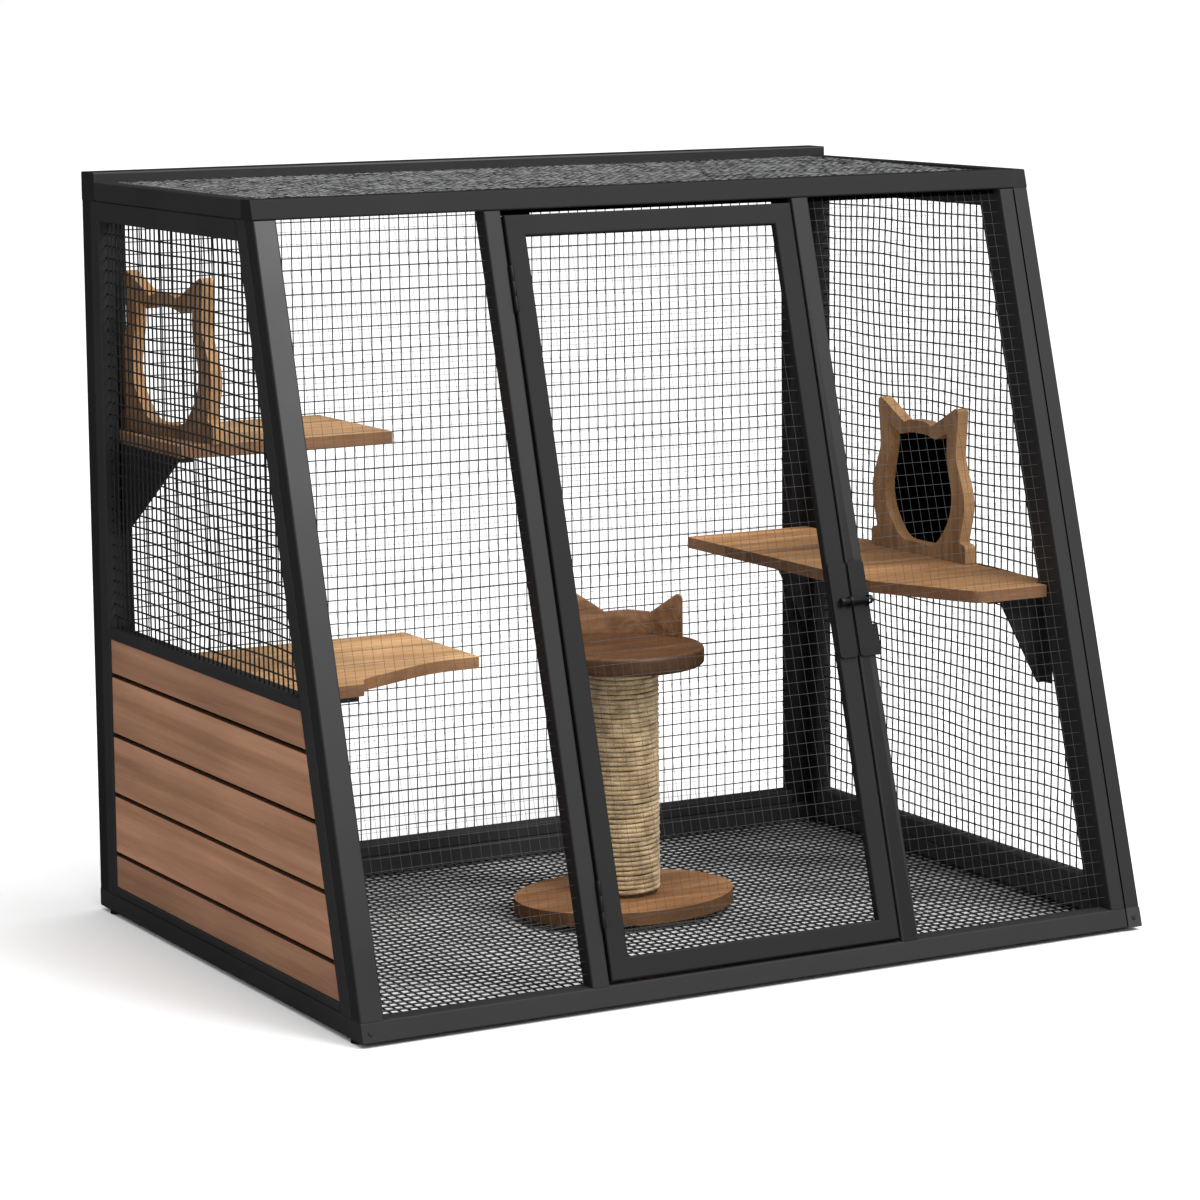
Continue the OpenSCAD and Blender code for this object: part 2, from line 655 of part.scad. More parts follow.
right_hoop_y = rear_y - right_hoop_gap - hoop_half;
module upper_hoop() color(board_colour)
    in_cage(side_t + upper_hoop_x + hoop_t / 2, upper_hoop_y, upper_shelf_z)
        rotate([0, 0, upper_hoop_turn]) translate([-hoop_t / 2, 0, 0]) cat_head(hoop_t);
module right_hoop() color(board_colour)
    in_cage(right_x - hoop_t, right_hoop_y, right_shelf_z) cat_head(hoop_t);

// Dark board that closes the right hoop from behind
backing_margin = 14;
module hoop_backing() color("black")
    in_cage(right_x, right_hoop_y, right_shelf_z) rotate([90, 0, 90]) linear_extrude(backing_t)
        polygon(outline([for (p = mirrored(hoop_inner))
            [p.x + sign(p.x) * backing_margin,
             p.y + (p.y < hoop_foot_h ? -1 : 1) * backing_margin, p.z]]));

// Bracket: a web under a shelf with a flange along the arm and one on the wall
// It reaches along +X from the wall and hangs below Z = 0
module bracket(reach, shoulder, toe, drop) {
    rotate([90, 0, 0]) linear_extrude(bracket_t) polygon([[0, 0], [0, -drop], toe,
        [shoulder, -flange_t], [reach, -flange_t], [reach, 0]]);
    translate([0, -flange_w, -flange_t]) cube([reach, flange_w, flange_t]);
    translate([0, -flange_w, -drop]) cube([flange_t / 2, flange_w, drop]);
}
upper_bracket_reach = 360;
upper_bracket_drop = 224;
upper_shoulder = 20;
upper_toe = [60, -187];
lower_bracket_reach = 326;
right_bracket_reach = 163;
right_bracket_gap = 2;
right_toe_w = 20;
small_bracket_drop = 195;
small_shoulder = 44;
small_toe_w = 40;
module small_bracket(reach, toe_w)
    bracket(reach, reach - small_shoulder, [toe_w, -small_bracket_drop], small_bracket_drop);
module left_brackets() color(fitting_colour) {
    in_cage(side_t + flange_t / 2, rear_y, upper_shelf_z - shelf_t) rotate([0, 0, -90]) mirror([0, 1, 0])
        bracket(upper_bracket_reach, upper_bracket_reach - upper_shoulder, upper_toe, upper_bracket_drop);
    for (y = [rear_y - lower_shelf_d + flange_w, side_stile_y])
        in_cage(slat_recess + slat_t, y, lower_shelf_z - shelf_t) small_bracket(lower_bracket_reach, small_toe_w);
}
right_bracket_y = behind_y(right_post_d, right_shelf_z - shelf_t) + right_bracket_gap + flange_w;
module right_brackets() color(fitting_colour)
    for (y = [right_bracket_y, rear_y - flange_w / 2])
        in_cage(right_x, y, right_shelf_z - shelf_t) mirror([1, 0, 0])
            small_bracket(right_bracket_reach, right_toe_w);

// Scratching post on the floor mesh
post_base_z = level_mesh_recess + mesh_t;
column_z = post_base_z + post_base_t;
platform_z = column_z + column_h;
module at_post(z) in_cage(post_x, post_y, z) children();
oval_points = 60;
platform_edge_r = 10;
module post_base() color(post_colour)
    at_post(post_base_z) linear_extrude(post_base_t)
        polygon(oval(post_base_w / 2, post_base_d / 2, oval_points));
module post_platform() color(post_colour)
    at_post(platform_z) rotate_extrude() polygon(outline([[0, 0, 0], [platform_r, 0, platform_edge_r],
        [platform_r, platform_t, platform_edge_r], [0, platform_t, 0]]));

// Backrest: part of a ring near the platform's rim, cut to two ears seen from its middle
backrest_inset = 5;
backrest_out = platform_r - backrest_inset;
backrest_half = 122;
backrest_mid_h = 52;
backrest_dip = 7;
backrest_notch = 50;
backrest_ear_r = 10;
module post_backrest() color(post_colour)
    at_post(platform_z + platform_t) rotate([0, 0, backrest_turn - 90]) intersection() {
        difference() {
            cylinder(r = backrest_out, h = backrest_h);
            translate([0, 0, -over]) cylinder(r = backrest_out - backrest_t, h = backrest_h + 2 * over);
        }
        translate([0, backrest_out + over, 0]) rotate([90, 0, 0]) linear_extrude(backrest_out)
            polygon(outline([[-backrest_half, 0, 0], [backrest_half, 0, 0],
                [backrest_half, backrest_h, backrest_ear_r],
                [backrest_notch, backrest_mid_h - backrest_dip, 3], [0, backrest_mid_h, 300],
                [-backrest_notch, backrest_mid_h - backrest_dip, 3],
                [-backrest_half, backrest_h, backrest_ear_r]]));
    }

// Winding: one rope climbs the core in even turns, with an upright end on each board
rope_rings = 16;
rope_sides = 6;
rope_axis_r = column_r - rope_r;
rope_bend_r = 16;
core_clear = 0.3;
core_r = (rope_axis_r - rope_r) * cos(180 / rope_rings) - core_clear;
rope_rise = atan(rope_pitch / (2 * PI * rope_axis_r));
bend_top = 2 * rope_r + rope_bend_r * cos(rope_rise);
bend_s = rope_bend_r * (1 - sin(rope_rise));
wound_s = (column_h - 2 * bend_top) / tan(rope_rise);
rope_s = wound_s + 2 * bend_s;
bend_rings = 4;
wound_rings = round(rope_rings * wound_s / (2 * PI * rope_axis_r));
// Route on the unrolled column: distance round the column, height
rope_start = [[0, 0], for (k = [0:bend_rings - 1])
    let(a = 180 - k * (90 - rope_rise) / bend_rings)
    [rope_bend_r * (1 + cos(a)), 2 * rope_r + rope_bend_r * sin(a)]];
rope_wound = [for (k = [0:wound_rings])
    [bend_s + k * wound_s / wound_rings, bend_top + k * (column_h - 2 * bend_top) / wound_rings]];
rope_end = [for (k = [len(rope_start) - 1:-1:0]) [rope_s, column_h] - rope_start[k]];
rope_route = concat(rope_start, rope_wound, rope_end);
function on_column(p) =
    let(a = p.x / rope_axis_r * 180 / PI)
    [rope_axis_r * cos(a), rope_axis_r * sin(a), p.y];
rope_centres = [for (p = rope_route) on_column(p)];
rope_n = len(rope_centres);
function rope_heading(i) =
    i == 0 || i == rope_n - 1 ? [0, 0, 1] : unit(rope_centres[i + 1] - rope_centres[i - 1]);
rope_points = [for (i = [0:rope_n - 1])
    let(c = rope_centres[i], out = unit([c.x, c.y, 0]), side = cross(rope_heading(i), out))
    for (k = [0:rope_sides - 1])
        c + rope_r * (cos(360 * k / rope_sides) * out + sin(360 * k / rope_sides) * side)];
rope_faces = concat(
    [for (k = [1:rope_sides - 2]) [0, k + 1, k]],
    [for (i = [0:rope_n - 2], k = [0:rope_sides - 1])
        let(a = i * rope_sides + k, b = i * rope_sides + (k + 1) % rope_sides)
        each [[a, b, b + rope_sides], [a, b + rope_sides, a + rope_sides]]],
    [for (k = [1:rope_sides - 2]) (rope_n - 1) * rope_sides * [1, 1, 1] + [0, k, k + 1]]);
module sisal_rope() color(sisal_colour) at_post(column_z) polyhedron(rope_points, rope_faces);
module post_core() color(post_colour) at_post(column_z) cylinder(r = core_r, h = column_h);

// Least gap between the rope and its own next turn, measured on its points
function ring(i) = [for (k = [0:rope_sides - 1]) rope_points[i * rope_sides + k]];
ring_search = 4;
rope_gap = min([for (i = [0:rope_n - rope_rings + ring_search - 1])
    for (j = [i + rope_rings - ring_search:min(rope_n - 1, i + rope_rings + ring_search)])
        min([for (p = ring(i), q = ring(j)) norm(p - q)])]);
echo(rope_turns = rope_s / (2 * PI * rope_axis_r), rope_gap = rope_gap);

// Round feet under the side rails, near the four corners
module feet() color(fitting_colour)
    for (x = [side_t / 2, cage_w - side_t / 2], y = [foot_inset, base_d - foot_inset])
        in_cage(x, y, -foot_h) cylinder(r = foot_r, h = foot_h);

// Button-headed bolts into the base's side rails, on the sloping face of the front
bolt_head_r = 6;
bolt_head_top_r = 3.6;
bolt_head_h = 3;
module frame_bolts() color(fitting_colour)
    for (u = [side_t / 2, cage_w - side_t / 2])
        in_front(u, 0, base_v / 2) rotate([90, 0, 0])
            cylinder(r1 = bolt_head_r, r2 = bolt_head_top_r, h = bolt_head_h);

base_front_rail();
base_left_rail();
base_right_rail();
base_rear_rail();
roof_front_rail();
roof_left_rail();
roof_right_rail();
ridge_rail();
ridge_plug();
left_corner_post();
hinge_jamb();
latch_jamb();
right_corner_post();
left_front_stile();
left_rear_stile();
left_top_rail();
left_mid_rail();
left_bottom_rail();
right_front_stile();
right_rear_stile();
right_top_rail();
right_bottom_rail();
rear_left_stile();
rear_right_stile();
rear_top_rail();
rear_bottom_rail();
side_slats();
left_mesh();
right_mesh();
rear_mesh();
roof_mesh();
floor_mesh();
front_left_mesh();
front_right_mesh();
upper_shelf();
lower_shelf();
right_shelf();
upper_hoop();
right_hoop();
hoop_backing();
left_brackets();
right_brackets();
post_base();
post_core();
sisal_rope();
post_platform();
post_backrest();
feet();
frame_bolts();
jamb_hinge_leaves();
hinge_pins();
jamb_plate();
door_hinge_stile();
door_latch_stile();
door_top_rail();
door_bottom_rail();
door_mesh();
door_hinge_leaves();
latch_plate();
latch_bolt();
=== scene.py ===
import json
import math

import bpy
from mathutils import Matrix, Vector


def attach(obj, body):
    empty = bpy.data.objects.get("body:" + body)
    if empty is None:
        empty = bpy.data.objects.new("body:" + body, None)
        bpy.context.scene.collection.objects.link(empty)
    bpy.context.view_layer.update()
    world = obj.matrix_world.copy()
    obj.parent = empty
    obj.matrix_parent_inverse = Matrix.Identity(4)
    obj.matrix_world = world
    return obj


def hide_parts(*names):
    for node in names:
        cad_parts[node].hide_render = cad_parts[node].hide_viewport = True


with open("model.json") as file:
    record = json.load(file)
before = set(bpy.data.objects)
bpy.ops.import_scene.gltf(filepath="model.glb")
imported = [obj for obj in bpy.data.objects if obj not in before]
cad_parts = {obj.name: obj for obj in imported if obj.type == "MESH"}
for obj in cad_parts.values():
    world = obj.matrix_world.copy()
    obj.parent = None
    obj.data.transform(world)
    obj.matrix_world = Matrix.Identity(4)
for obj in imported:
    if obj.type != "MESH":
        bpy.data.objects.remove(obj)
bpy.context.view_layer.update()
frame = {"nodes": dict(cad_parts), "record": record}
nodes = frame["nodes"]
print("frame loaded:", len(nodes), "nodes")

mmPerMetre = 1000

# the cage's main sizes in millimetres; the front leans back from the base to the shallower roof
cageSize = {
    "width": 1800,
    "baseDepth": 1310,
    "roofDepth": 870,
    "height": 1560,
    "foot": 8,
}
leanAngle = math.atan2(cageSize["baseDepth"] - cageSize["roofDepth"], cageSize["height"])
leanSine = math.sin(leanAngle)
leanCosine = math.cos(leanAngle)
leanSlope = math.tan(leanAngle)


def shopPoint(x, y, z):
    # drawing millimetres, from the base's left front corner on top of the feet, to the frame's metres
    return Vector((
        (x - cageSize["width"] / 2) / mmPerMetre,
        (y - cageSize["baseDepth"] / 2) / mmPerMetre,
        (z + cageSize["foot"]) / mmPerMetre,
    ))


def onFront(u, d, v):
    # across the leaning front, square into it and up its slope, to drawing millimetres
    return (u, v * leanSine + d * leanCosine, v * leanCosine - d * leanSine)


def putInScene(name, data):
    thing = bpy.data.objects.new(name, data)
    bpy.context.collection.objects.link(thing)
    return thing


# camera: solved from the frame's visible corners, so it stands where the photo was taken from
cameraView = {
    "place": (-3.9918, -7.1971, 2.0123),
    "yaw": 28.881,
    "pitch": -7.711,
    "roll": -0.562,
    "sensorMm": 36,
    "lensMm": 119.06,
    "shiftY": -0.0833,
    "farthest": 500,
}


def setCamera(view):
    yaw = math.radians(view["yaw"])
    pitch = math.radians(view["pitch"])
    roll = math.radians(view["roll"])
    forward = Vector((
        math.sin(yaw) * math.cos(pitch),
        math.cos(yaw) * math.cos(pitch),
        math.sin(pitch),
    ))
    level = Vector((math.cos(yaw), -math.sin(yaw), 0))
    upright = level.cross(forward)
    right = math.cos(roll) * level + math.sin(roll) * upright
    up = -math.sin(roll) * level + math.cos(roll) * upright
    lensData = bpy.data.cameras.new("studioCamera")
    lensData.sensor_width = view["sensorMm"]
    lensData.lens = view["lensMm"]
    lensData.shift_y = view["shiftY"]
    lensData.clip_end = view["farthest"]
    camera = putInScene("studioCamera", lensData)
    turn = Matrix((right, up, -forward)).transposed().to_4x4()
    camera.matrix_world = Matrix.Translation(view["place"]) @ turn
    bpy.context.scene.camera = camera


setCamera(cameraView)
print("camera set")


def toLinear(hexColour):
    # sRGB hex to the linear colour that the shaders take
    steps = [int(hexColour[i:i + 2], 16) / 255 for i in (1, 3, 5)]
    return tuple(c / 12.92 if c <= 0.04045 else ((c + 0.055) / 1.055) ** 2.4 for c in steps) + (1.0,)


def addNode(tree, kind, settings=None, links=None):
    # one shader node: its own settings first, then the sockets that other nodes feed
    node = tree.nodes.new(kind)
    for key, value in (settings or {}).items():
        if key == "stops":
            ramp = node.color_ramp
            while len(ramp.elements) < len(value):
                ramp.elements.new(1.0)
            for element, (position, grey) in zip(ramp.elements, value):
                element.position = position
                element.color = (grey, grey, grey, 1)
        elif isinstance(key, int) or key in node.inputs:
            node.inputs[key].default_value = value
        else:
            setattr(node, key, value)
    for key, source in (links or {}).items():
        tree.links.new(source, node.inputs[key])
    return node


def newFinish(name):
    finish = bpy.data.materials.new(name)
    finish.use_nodes = True
    finish.node_tree.nodes.clear()
    return finish, finish.node_tree


# the part of its scale from 0 to 1 that a noise pattern mostly keeps to
noiseSpan = {"From Min": 0.3, "From Max": 0.7}

# powder coat on steel tube: near black, satin, with a fine orange peel that breaks up the highlights
powderCoat = {
    "colour": "#252526",
    "shade": "#212122",
    "cloudMm": 220,
    "peelMm": 2.4,  # real orange peel is about 1 mm across; drawn coarser so that it shows
    "peelDepthMm": 0.04,
    "roughLow": 0.38,
    "roughHigh": 0.46,
    "gloss": 0.4,
}
# the jambs and the right corner get a duller gloss than the left post, and the rails and the door the dullest
# gloss and a darker colour: that darker colour is painted shade, as they catch less light
jambCoat = dict(powderCoat, roughLow=0.50, roughHigh=0.58, gloss=0.24)
railCoat = dict(powderCoat, colour="#202021", shade="#1c1c1d", roughLow=0.60, roughHigh=0.70, gloss=0.16)
# the side panels' coat is painted a little greyer than their own coat: painted light, for the room's light
# that they stand in
sideLitCoat = dict(railCoat, colour="#2a2a2b", shade="#252526")
# the low rails at the back are painted paler: painted light, for the light that comes off the floor
lowLitCoat = dict(railCoat, colour="#353536", shade="#2e2e2f")
# pressed brackets: the same coat with a clearer sheen on their broad flat webs
bracketCoat = dict(powderCoat, colour="#262627", shade="#1f1f20", cloudMm=90, gloss=0.5)


def powderCoatFinish(name, coat):
    finish, tree = newFinish(name)
    place = addNode(tree, "ShaderNodeTexCoord").outputs["Object"]
    cloud = addNode(tree, "ShaderNodeTexNoise", {
        "Scale": mmPerMetre / coat["cloudMm"], "Detail": 3.0,
    }, {"Vector": place})
    peel = addNode(tree, "ShaderNodeTexNoise", {
        "Scale": mmPerMetre / coat["peelMm"], "Detail": 2.0,
    }, {"Vector": place})
    tint = addNode(tree, "ShaderNodeMix", {
        "data_type": "RGBA", 6: toLinear(coat["shade"]), 7: toLinear(coat["colour"]),
    }, {0: cloud.outputs["Fac"]})
    rough = addNode(tree, "ShaderNodeMapRange", {
        **noiseSpan, "To Min": coat["roughLow"], "To Max": coat["roughHigh"],
    }, {"Value": cloud.outputs["Fac"]})
    bump = addNode(tree, "ShaderNodeBump", {
        "Strength": 0.6, "Distance": coat["peelDepthMm"] / mmPerMetre,
    }, {"Height": peel.outputs["Fac"]})
    surface = addNode(tree, "ShaderNodeBsdfPrincipled", {"Specular IOR Level": coat["gloss"]}, {
        "Base Color": tint.outputs[2],
        "Roughness": rough.outputs["Result"],
        "Normal": bump.outputs["Normal"],
    })
    addNode(tree, "ShaderNodeOutputMaterial", {}, {"Surface": surface.outputs["BSDF"]})
    return finish


# oiled hardwood: growth rings cut along the board give long figure, darker fibres and short open pores
boardTimber = {
    "light": "#d6a56c",
    "dark": "#ad7a48",
    "edge": "#8a5f3c",
    "grainAxis": 0,  # 0 runs across the cage, 1 along its depth, 2 upright
    "stretch": 14.0,  # how many times longer each pattern is along the grain than across it
    "boards": (1, 0.0, 92.0),  # glued staves: the axis across them, where they start and their width
    "staveShift": 3.0,  # metres at most between one stave's pattern and the next one's
    "plankTonesAndShade": (1.0,),
    "figureMm": 70,
    "ringCount": 9.0,
    "ringWeight": 0.45,
    "streakMm": 26,
    "fibreMm": 2.2,  # real fibres and pores are about 0.2 mm wide; drawn coarser so that they show
    "fibre": 0.30,
    "poreDepthMm": 0.3,
    "patchMm": 240,
    "patch": 0.22,
    "rough": 0.5,
    "gloss": 0.35,
}


def timberFinish(name, timber):
    finish, tree = newFinish(name)
    place = addNode(tree, "ShaderNodeTexCoord").outputs["Object"]
    axes = addNode(tree, "ShaderNodeSeparateXYZ", {}, {"Vector": place})
    # each stave is cut from another part of the tree, so its pattern starts somewhere else
    across, start, width = timber["boards"]
    staveCount = addNode(tree, "ShaderNodeMath", {
        "operation": "MULTIPLY_ADD", 1: mmPerMetre / width, 2: -start / width,
    }, {0: axes.outputs[across]})
    stave = addNode(tree, "ShaderNodeMath", {"operation": "FLOOR"}, {0: staveCount.outputs[0]})
    staveSeed = addNode(tree, "ShaderNodeTexWhiteNoise", {"noise_dimensions": "1D"}, {
        "W": stave.outputs[0],
    })
    moved = addNode(tree, "ShaderNodeVectorMath", {
        "operation": "MULTIPLY_ADD", 1: (timber["staveShift"],) * 3,
    }, {0: staveSeed.outputs["Color"], 2: place})
    # from here on a pattern's scale is in millimetres across the grain
    squeeze = [mmPerMetre] * 3
    squeeze[timber["grainAxis"]] = mmPerMetre / timber["stretch"]
    along = addNode(tree, "ShaderNodeMapping", {"Scale": tuple(squeeze)}, {
        "Vector": moved.outputs[0],
    }).outputs[0]
    # growth rings are the level lines of one slow pattern
    figure = addNode(tree, "ShaderNodeTexNoise", {
        "Scale": 1 / timber["figureMm"], "Detail": 1.5, "Roughness": 0.4, "Distortion": 0.3,
    }, {"Vector": along})
    rings = addNode(tree, "ShaderNodeMath", {"operation": "MULTIPLY", 1: timber["ringCount"]}, {
        0: figure.outputs["Fac"],
    })
    ring = addNode(tree, "ShaderNodeMath", {"operation": "PINGPONG", 1: 0.5}, {0: rings.outputs[0]})
    # late wood is a narrow dark line, early wood a wide pale band
    ringTone = addNode(tree, "ShaderNodeValToRGB", {
        "stops": [(0.0, 0.15), (0.3, 0.55), (0.5, 1.0)],
    }, {"Fac": ring.outputs[0]})
    # fine fibres and pores, and wider darker streaks between them
    fibre = addNode(tree, "ShaderNodeTexNoise", {
        "Scale": 1 / timber["fibreMm"], "Detail": 5.0, "Roughness": 0.65,
    }, {"Vector": along})
    streak = addNode(tree, "ShaderNodeTexNoise", {
        "Scale": 1 / timber["streakMm"], "Detail": 3.0, "Roughness": 0.6,
    }, {"Vector": along})
    streakTone = addNode(tree, "ShaderNodeMapRange", {"From Min": 0.35, "From Max": 0.68}, {
        "Value": streak.outputs["Fac"],
    })
    blend = addNode(tree, "ShaderNodeMath", {"operation": "MULTIPLY_ADD", 1: timber["ringWeight"]}, {
        0: ringTone.outputs["Color"], 2: streakTone.outputs["Result"],
    })
    blendTone = addNode(tree, "ShaderNodeMapRange", {
        "From Min": 0.1, "From Max": 0.9 + timber["ringWeight"],
    }, {"Value": blend.outputs[0]})
    colour = addNode(tree, "ShaderNodeMix", {
        "data_type": "RGBA", 6: toLinear(timber["dark"]), 7: toLinear(timber["light"]),
    }, {0: blendTone.outputs["Result"]})
    # faces that do not face along the board's face axis get the edge tone, by the direction they face: a
    # darker tone on the shelves, slats and post, and a paler one on the hoops, where it is painted light
    facing = addNode(tree, "ShaderNodeTexCoord").outputs["Normal"]
    facingAxes = addNode(tree, "ShaderNodeSeparateXYZ", {}, {"Vector": facing})
    flat = addNode(tree, "ShaderNodeMath", {"operation": "ABSOLUTE"}, {
        0: facingAxes.outputs[timber["faceAxis"]],
    })
    edge = addNode(tree, "ShaderNodeMapRange", {
        "From Min": 0.4, "From Max": 0.8, "To Min": timber["edgeTint"], "To Max": 0.0,
    }, {"Value": flat.outputs[0]})
    edgeToned = addNode(tree, "ShaderNodeMix", {"data_type": "RGBA", 7: toLinear(timber["edge"])}, {
        0: edge.outputs["Result"], 6: colour.outputs[2],
    })
    fibreTone = addNode(tree, "ShaderNodeMapRange", {
        **noiseSpan, "To Min": 1 - timber["fibre"], "To Max": 1.08,
    }, {"Value": fibre.outputs["Fac"]})
    # handling and oil leave broad darker patches
    patch = addNode(tree, "ShaderNodeTexNoise", {
        "Scale": mmPerMetre / timber["patchMm"], "Detail": 2.0,
    }, {"Vector": place})
    patchTone = addNode(tree, "ShaderNodeMapRange", {
        "From Min": 0.38, "From Max": 0.60, "To Min": 1 - timber["patch"], "To Max": 1.0,
    }, {"Value": patch.outputs["Fac"]})
    wornTone = addNode(tree, "ShaderNodeMath", {"operation": "MULTIPLY"}, {
        0: fibreTone.outputs["Result"], 1: patchTone.outputs["Result"],
    })
    # each plank gets its own tone from the table; on the right shelf the darker tones are painted shade
    tones = timber["plankTonesAndShade"]
    plankPlace = addNode(tree, "ShaderNodeMath", {"operation": "DIVIDE", 1: float(len(tones))}, {
        0: staveCount.outputs[0],
    })
    plank = addNode(tree, "ShaderNodeValToRGB", {
        "stops": [(i / len(tones), tone) for i, tone in enumerate(tones)],
    }, {"Fac": plankPlace.outputs[0]})
    plank.color_ramp.interpolation = "CONSTANT"
    plankTone = addNode(tree, "ShaderNodeMath", {"operation": "MULTIPLY"}, {
        0: wornTone.outputs[0], 1: plank.outputs["Color"],
    })
    grained = addNode(tree, "ShaderNodeVectorMath", {"operation": "SCALE"}, {
        0: edgeToned.outputs[2], "Scale": plankTone.outputs[0],
    })
    rough = addNode(tree, "ShaderNodeMapRange", {
        **noiseSpan, "To Min": timber["rough"] + 0.1, "To Max": timber["rough"] - 0.05,
    }, {"Value": fibre.outputs["Fac"]})
    bump = addNode(tree, "ShaderNodeBump", {
        "Strength": 0.5, "Distance": timber["poreDepthMm"] / mmPerMetre,
    }, {"Height": fibre.outputs["Fac"]})
    surface = addNode(tree, "ShaderNodeBsdfPrincipled", {"Specular IOR Level": timber["gloss"]}, {
        "Base Color": grained.outputs[0],
        "Roughness": rough.outputs["Result"],
        "Normal": bump.outputs["Normal"],
    })
    addNode(tree, "ShaderNodeOutputMaterial", {}, {"Surface": surface.outputs["BSDF"]})
    return finish


# shelves: warm light hardwood, oiled; grain along the cage. The upper one is painted darker, as painted shade
# for the duller light it is seen in, and the right one is made of redder planks, each of its own tone, painted
# darker overall and darkest towards the front as painted shade
shelfTimber = dict(boardTimber, light="#e2b686", dark="#b88a5a", edge="#82593a", faceAxis=2, edgeTint=0.8)
upperShadedTimber = dict(shelfTimber, light="#cda67b", dark="#a67c52")
rightTimber = dict(
    shelfTimber, light="#cf9d6c", dark="#9a6c43", edge="#7a5236", patch=0.12, boards=(1, -205.0, 92.0),
    plankTonesAndShade=(0.66, 0.86, 0.66, 0.66, 0.60, 0.58, 0.76, 1.08, 1.26))
# hoops: the same wood standing up, so its grain runs upright; their edges get a paler tone, which is painted
# light from the front
hoopTimber = dict(
    boardTimber, light="#a37c56", dark="#785839", edge="#c49564", grainAxis=2, faceAxis=0, edgeTint=0.7,
    boards=(1, 0.0, 60.0), stretch=10.0)
# slats: brown stained boards, planed smooth, with soft darker bands along them
slatTimber = dict(
    boardTimber, light="#a97b5d", dark="#8d6349", edge="#4c3627", grainAxis=1, faceAxis=0, edgeTint=0.7,
    boards=(2, 9.5, 129.0), figureMm=60, ringCount=2.0, ringWeight=0.15, streakMm=44, stretch=30.0,
    fibreMm=3.0, fibre=0.05, patch=0.12, patchMm=420, plankTonesAndShade=(0.67, 1.01, 0.88, 0.86, 0.77))
# post: browner, darker stained wood, darkest on its sawn edges; the seat took the most stain
postTimber = dict(
    boardTimber, light="#ab7b51", dark="#7c5534", edge="#5a4029", faceAxis=2, edgeTint=0.75,
    boards=(1, 0.0, 400.0), figureMm=60, stretch=9.0, fibre=0.24)
seatTimber = dict(postTimber, light="#774f2d", dark="#50331c", edge="#3f2a19", edgeTint=0.7)
backTimber = dict(postTimber, light="#b3855e", dark="#80593a", grainAxis=0, edgeTint=0.0)


# sisal rope: pale straw fibre, dry and matt, with loose darker blotches along it
sisalRope = {
    "light": "#d3bb92",
    "dark": "#7a6141",
    "fibreMm": 2.4,  # a real fibre is about 0.25 mm thick; drawn coarser so that it shows
    "fibreDepthMm": 0.8,
    "blotchMm": 34,
    "blotchWeight": 0.6,
    "rough": 0.9,
    "gloss": 0.2,
    "sheen": 0.25,
    "sheenRough": 0.5,
}


def sisalFinish(name, rope):
    finish, tree = newFinish(name)
    place = addNode(tree, "ShaderNodeTexCoord").outputs["Object"]
    fibre = addNode(tree, "ShaderNodeTexNoise", {
        "Scale": mmPerMetre / rope["fibreMm"], "Detail": 4.0, "Roughness": 0.7,
    }, {"Vector": place})
    blotch = addNode(tree, "ShaderNodeTexNoise", {
        "Scale": mmPerMetre / rope["blotchMm"], "Detail": 2.0,
    }, {"Vector": place})
    tone = addNode(tree, "ShaderNodeMath", {"operation": "MULTIPLY_ADD", 1: rope["blotchWeight"]}, {
        0: blotch.outputs["Fac"], 2: fibre.outputs["Fac"],
    })
    spread = addNode(tree, "ShaderNodeMapRange", {"From Min": 0.61, "From Max": 0.97}, {
        "Value": tone.outputs[0],
    })
    colour = addNode(tree, "ShaderNodeMix", {
        "data_type": "RGBA", 6: toLinear(rope["dark"]), 7: toLinear(rope["light"]),
    }, {0: spread.outputs["Result"]})
    bump = addNode(tree, "ShaderNodeBump", {
        "Strength": 0.8, "Distance": rope["fibreDepthMm"] / mmPerMetre,
    }, {"Height": fibre.outputs["Fac"]})
    surface = addNode(tree, "ShaderNodeBsdfPrincipled", {
        "Roughness": rope["rough"], "Specular IOR Level": rope["gloss"],
        "Sheen Weight": rope["sheen"], "Sheen Roughness": rope["sheenRough"],
    }, {"Base Color": colour.outputs[2], "Normal": bump.outputs["Normal"]})
    addNode(tree, "ShaderNodeOutputMaterial", {}, {"Surface": surface.outputs["BSDF"]})
    return finish


# parts with one plain colour: a soft clouding and a fine grain keep them from looking flat
plainCoat = {
    "cloudMm": 55,
    "cloudCut": 0.0,  # how much of the clouding's darkest and palest ends is cut off, which sharpens it
    "grainMm": 1.5,  # the real grain is a fraction of a millimetre; drawn coarser so that it shows
    "depthMm": 0.05,
    "rough": 0.5,
    "gloss": 0.4,
}
# welded wire under a thin black coat: satin, with a small glint along each wire; the front's is painted paler,
# as painted light from the front
weldedWire = dict(plainCoat, colour="#28292a", shade="#1f2021", grainMm=4, rough=0.42)
frontLitWire = dict(weldedWire, colour="#464748", shade="#3c3d3e")
# the roof's wires are painted much paler, in sharp pale patches: painted light and painted glints along their
# tops, which lie under the open sky of the room
roofLitWire = dict(
    weldedWire, colour="#909192", shade="#252627", cloudMm=30, cloudCut=0.34, rough=0.32, gloss=0.6)
# the floor's wires are painted darker: painted shade, for the cage's own shade that they sit in
floorShadedWire = dict(weldedWire, colour="#232425", shade="#1a1b1c")
# latch and hinges: coated steel, black and half matt
blackFitting = dict(plainCoat, colour="#161617", shade="#121213", depthMm=0.03, gloss=0.25)
# the ridge rail's end plug: moulded plastic, a touch softer in its gloss than the steel round it
mouldedPlug = dict(plainCoat, colour="#1d1d1e", shade="#191919", grainMm=1.0, depthMm=0.06, rough=0.55)
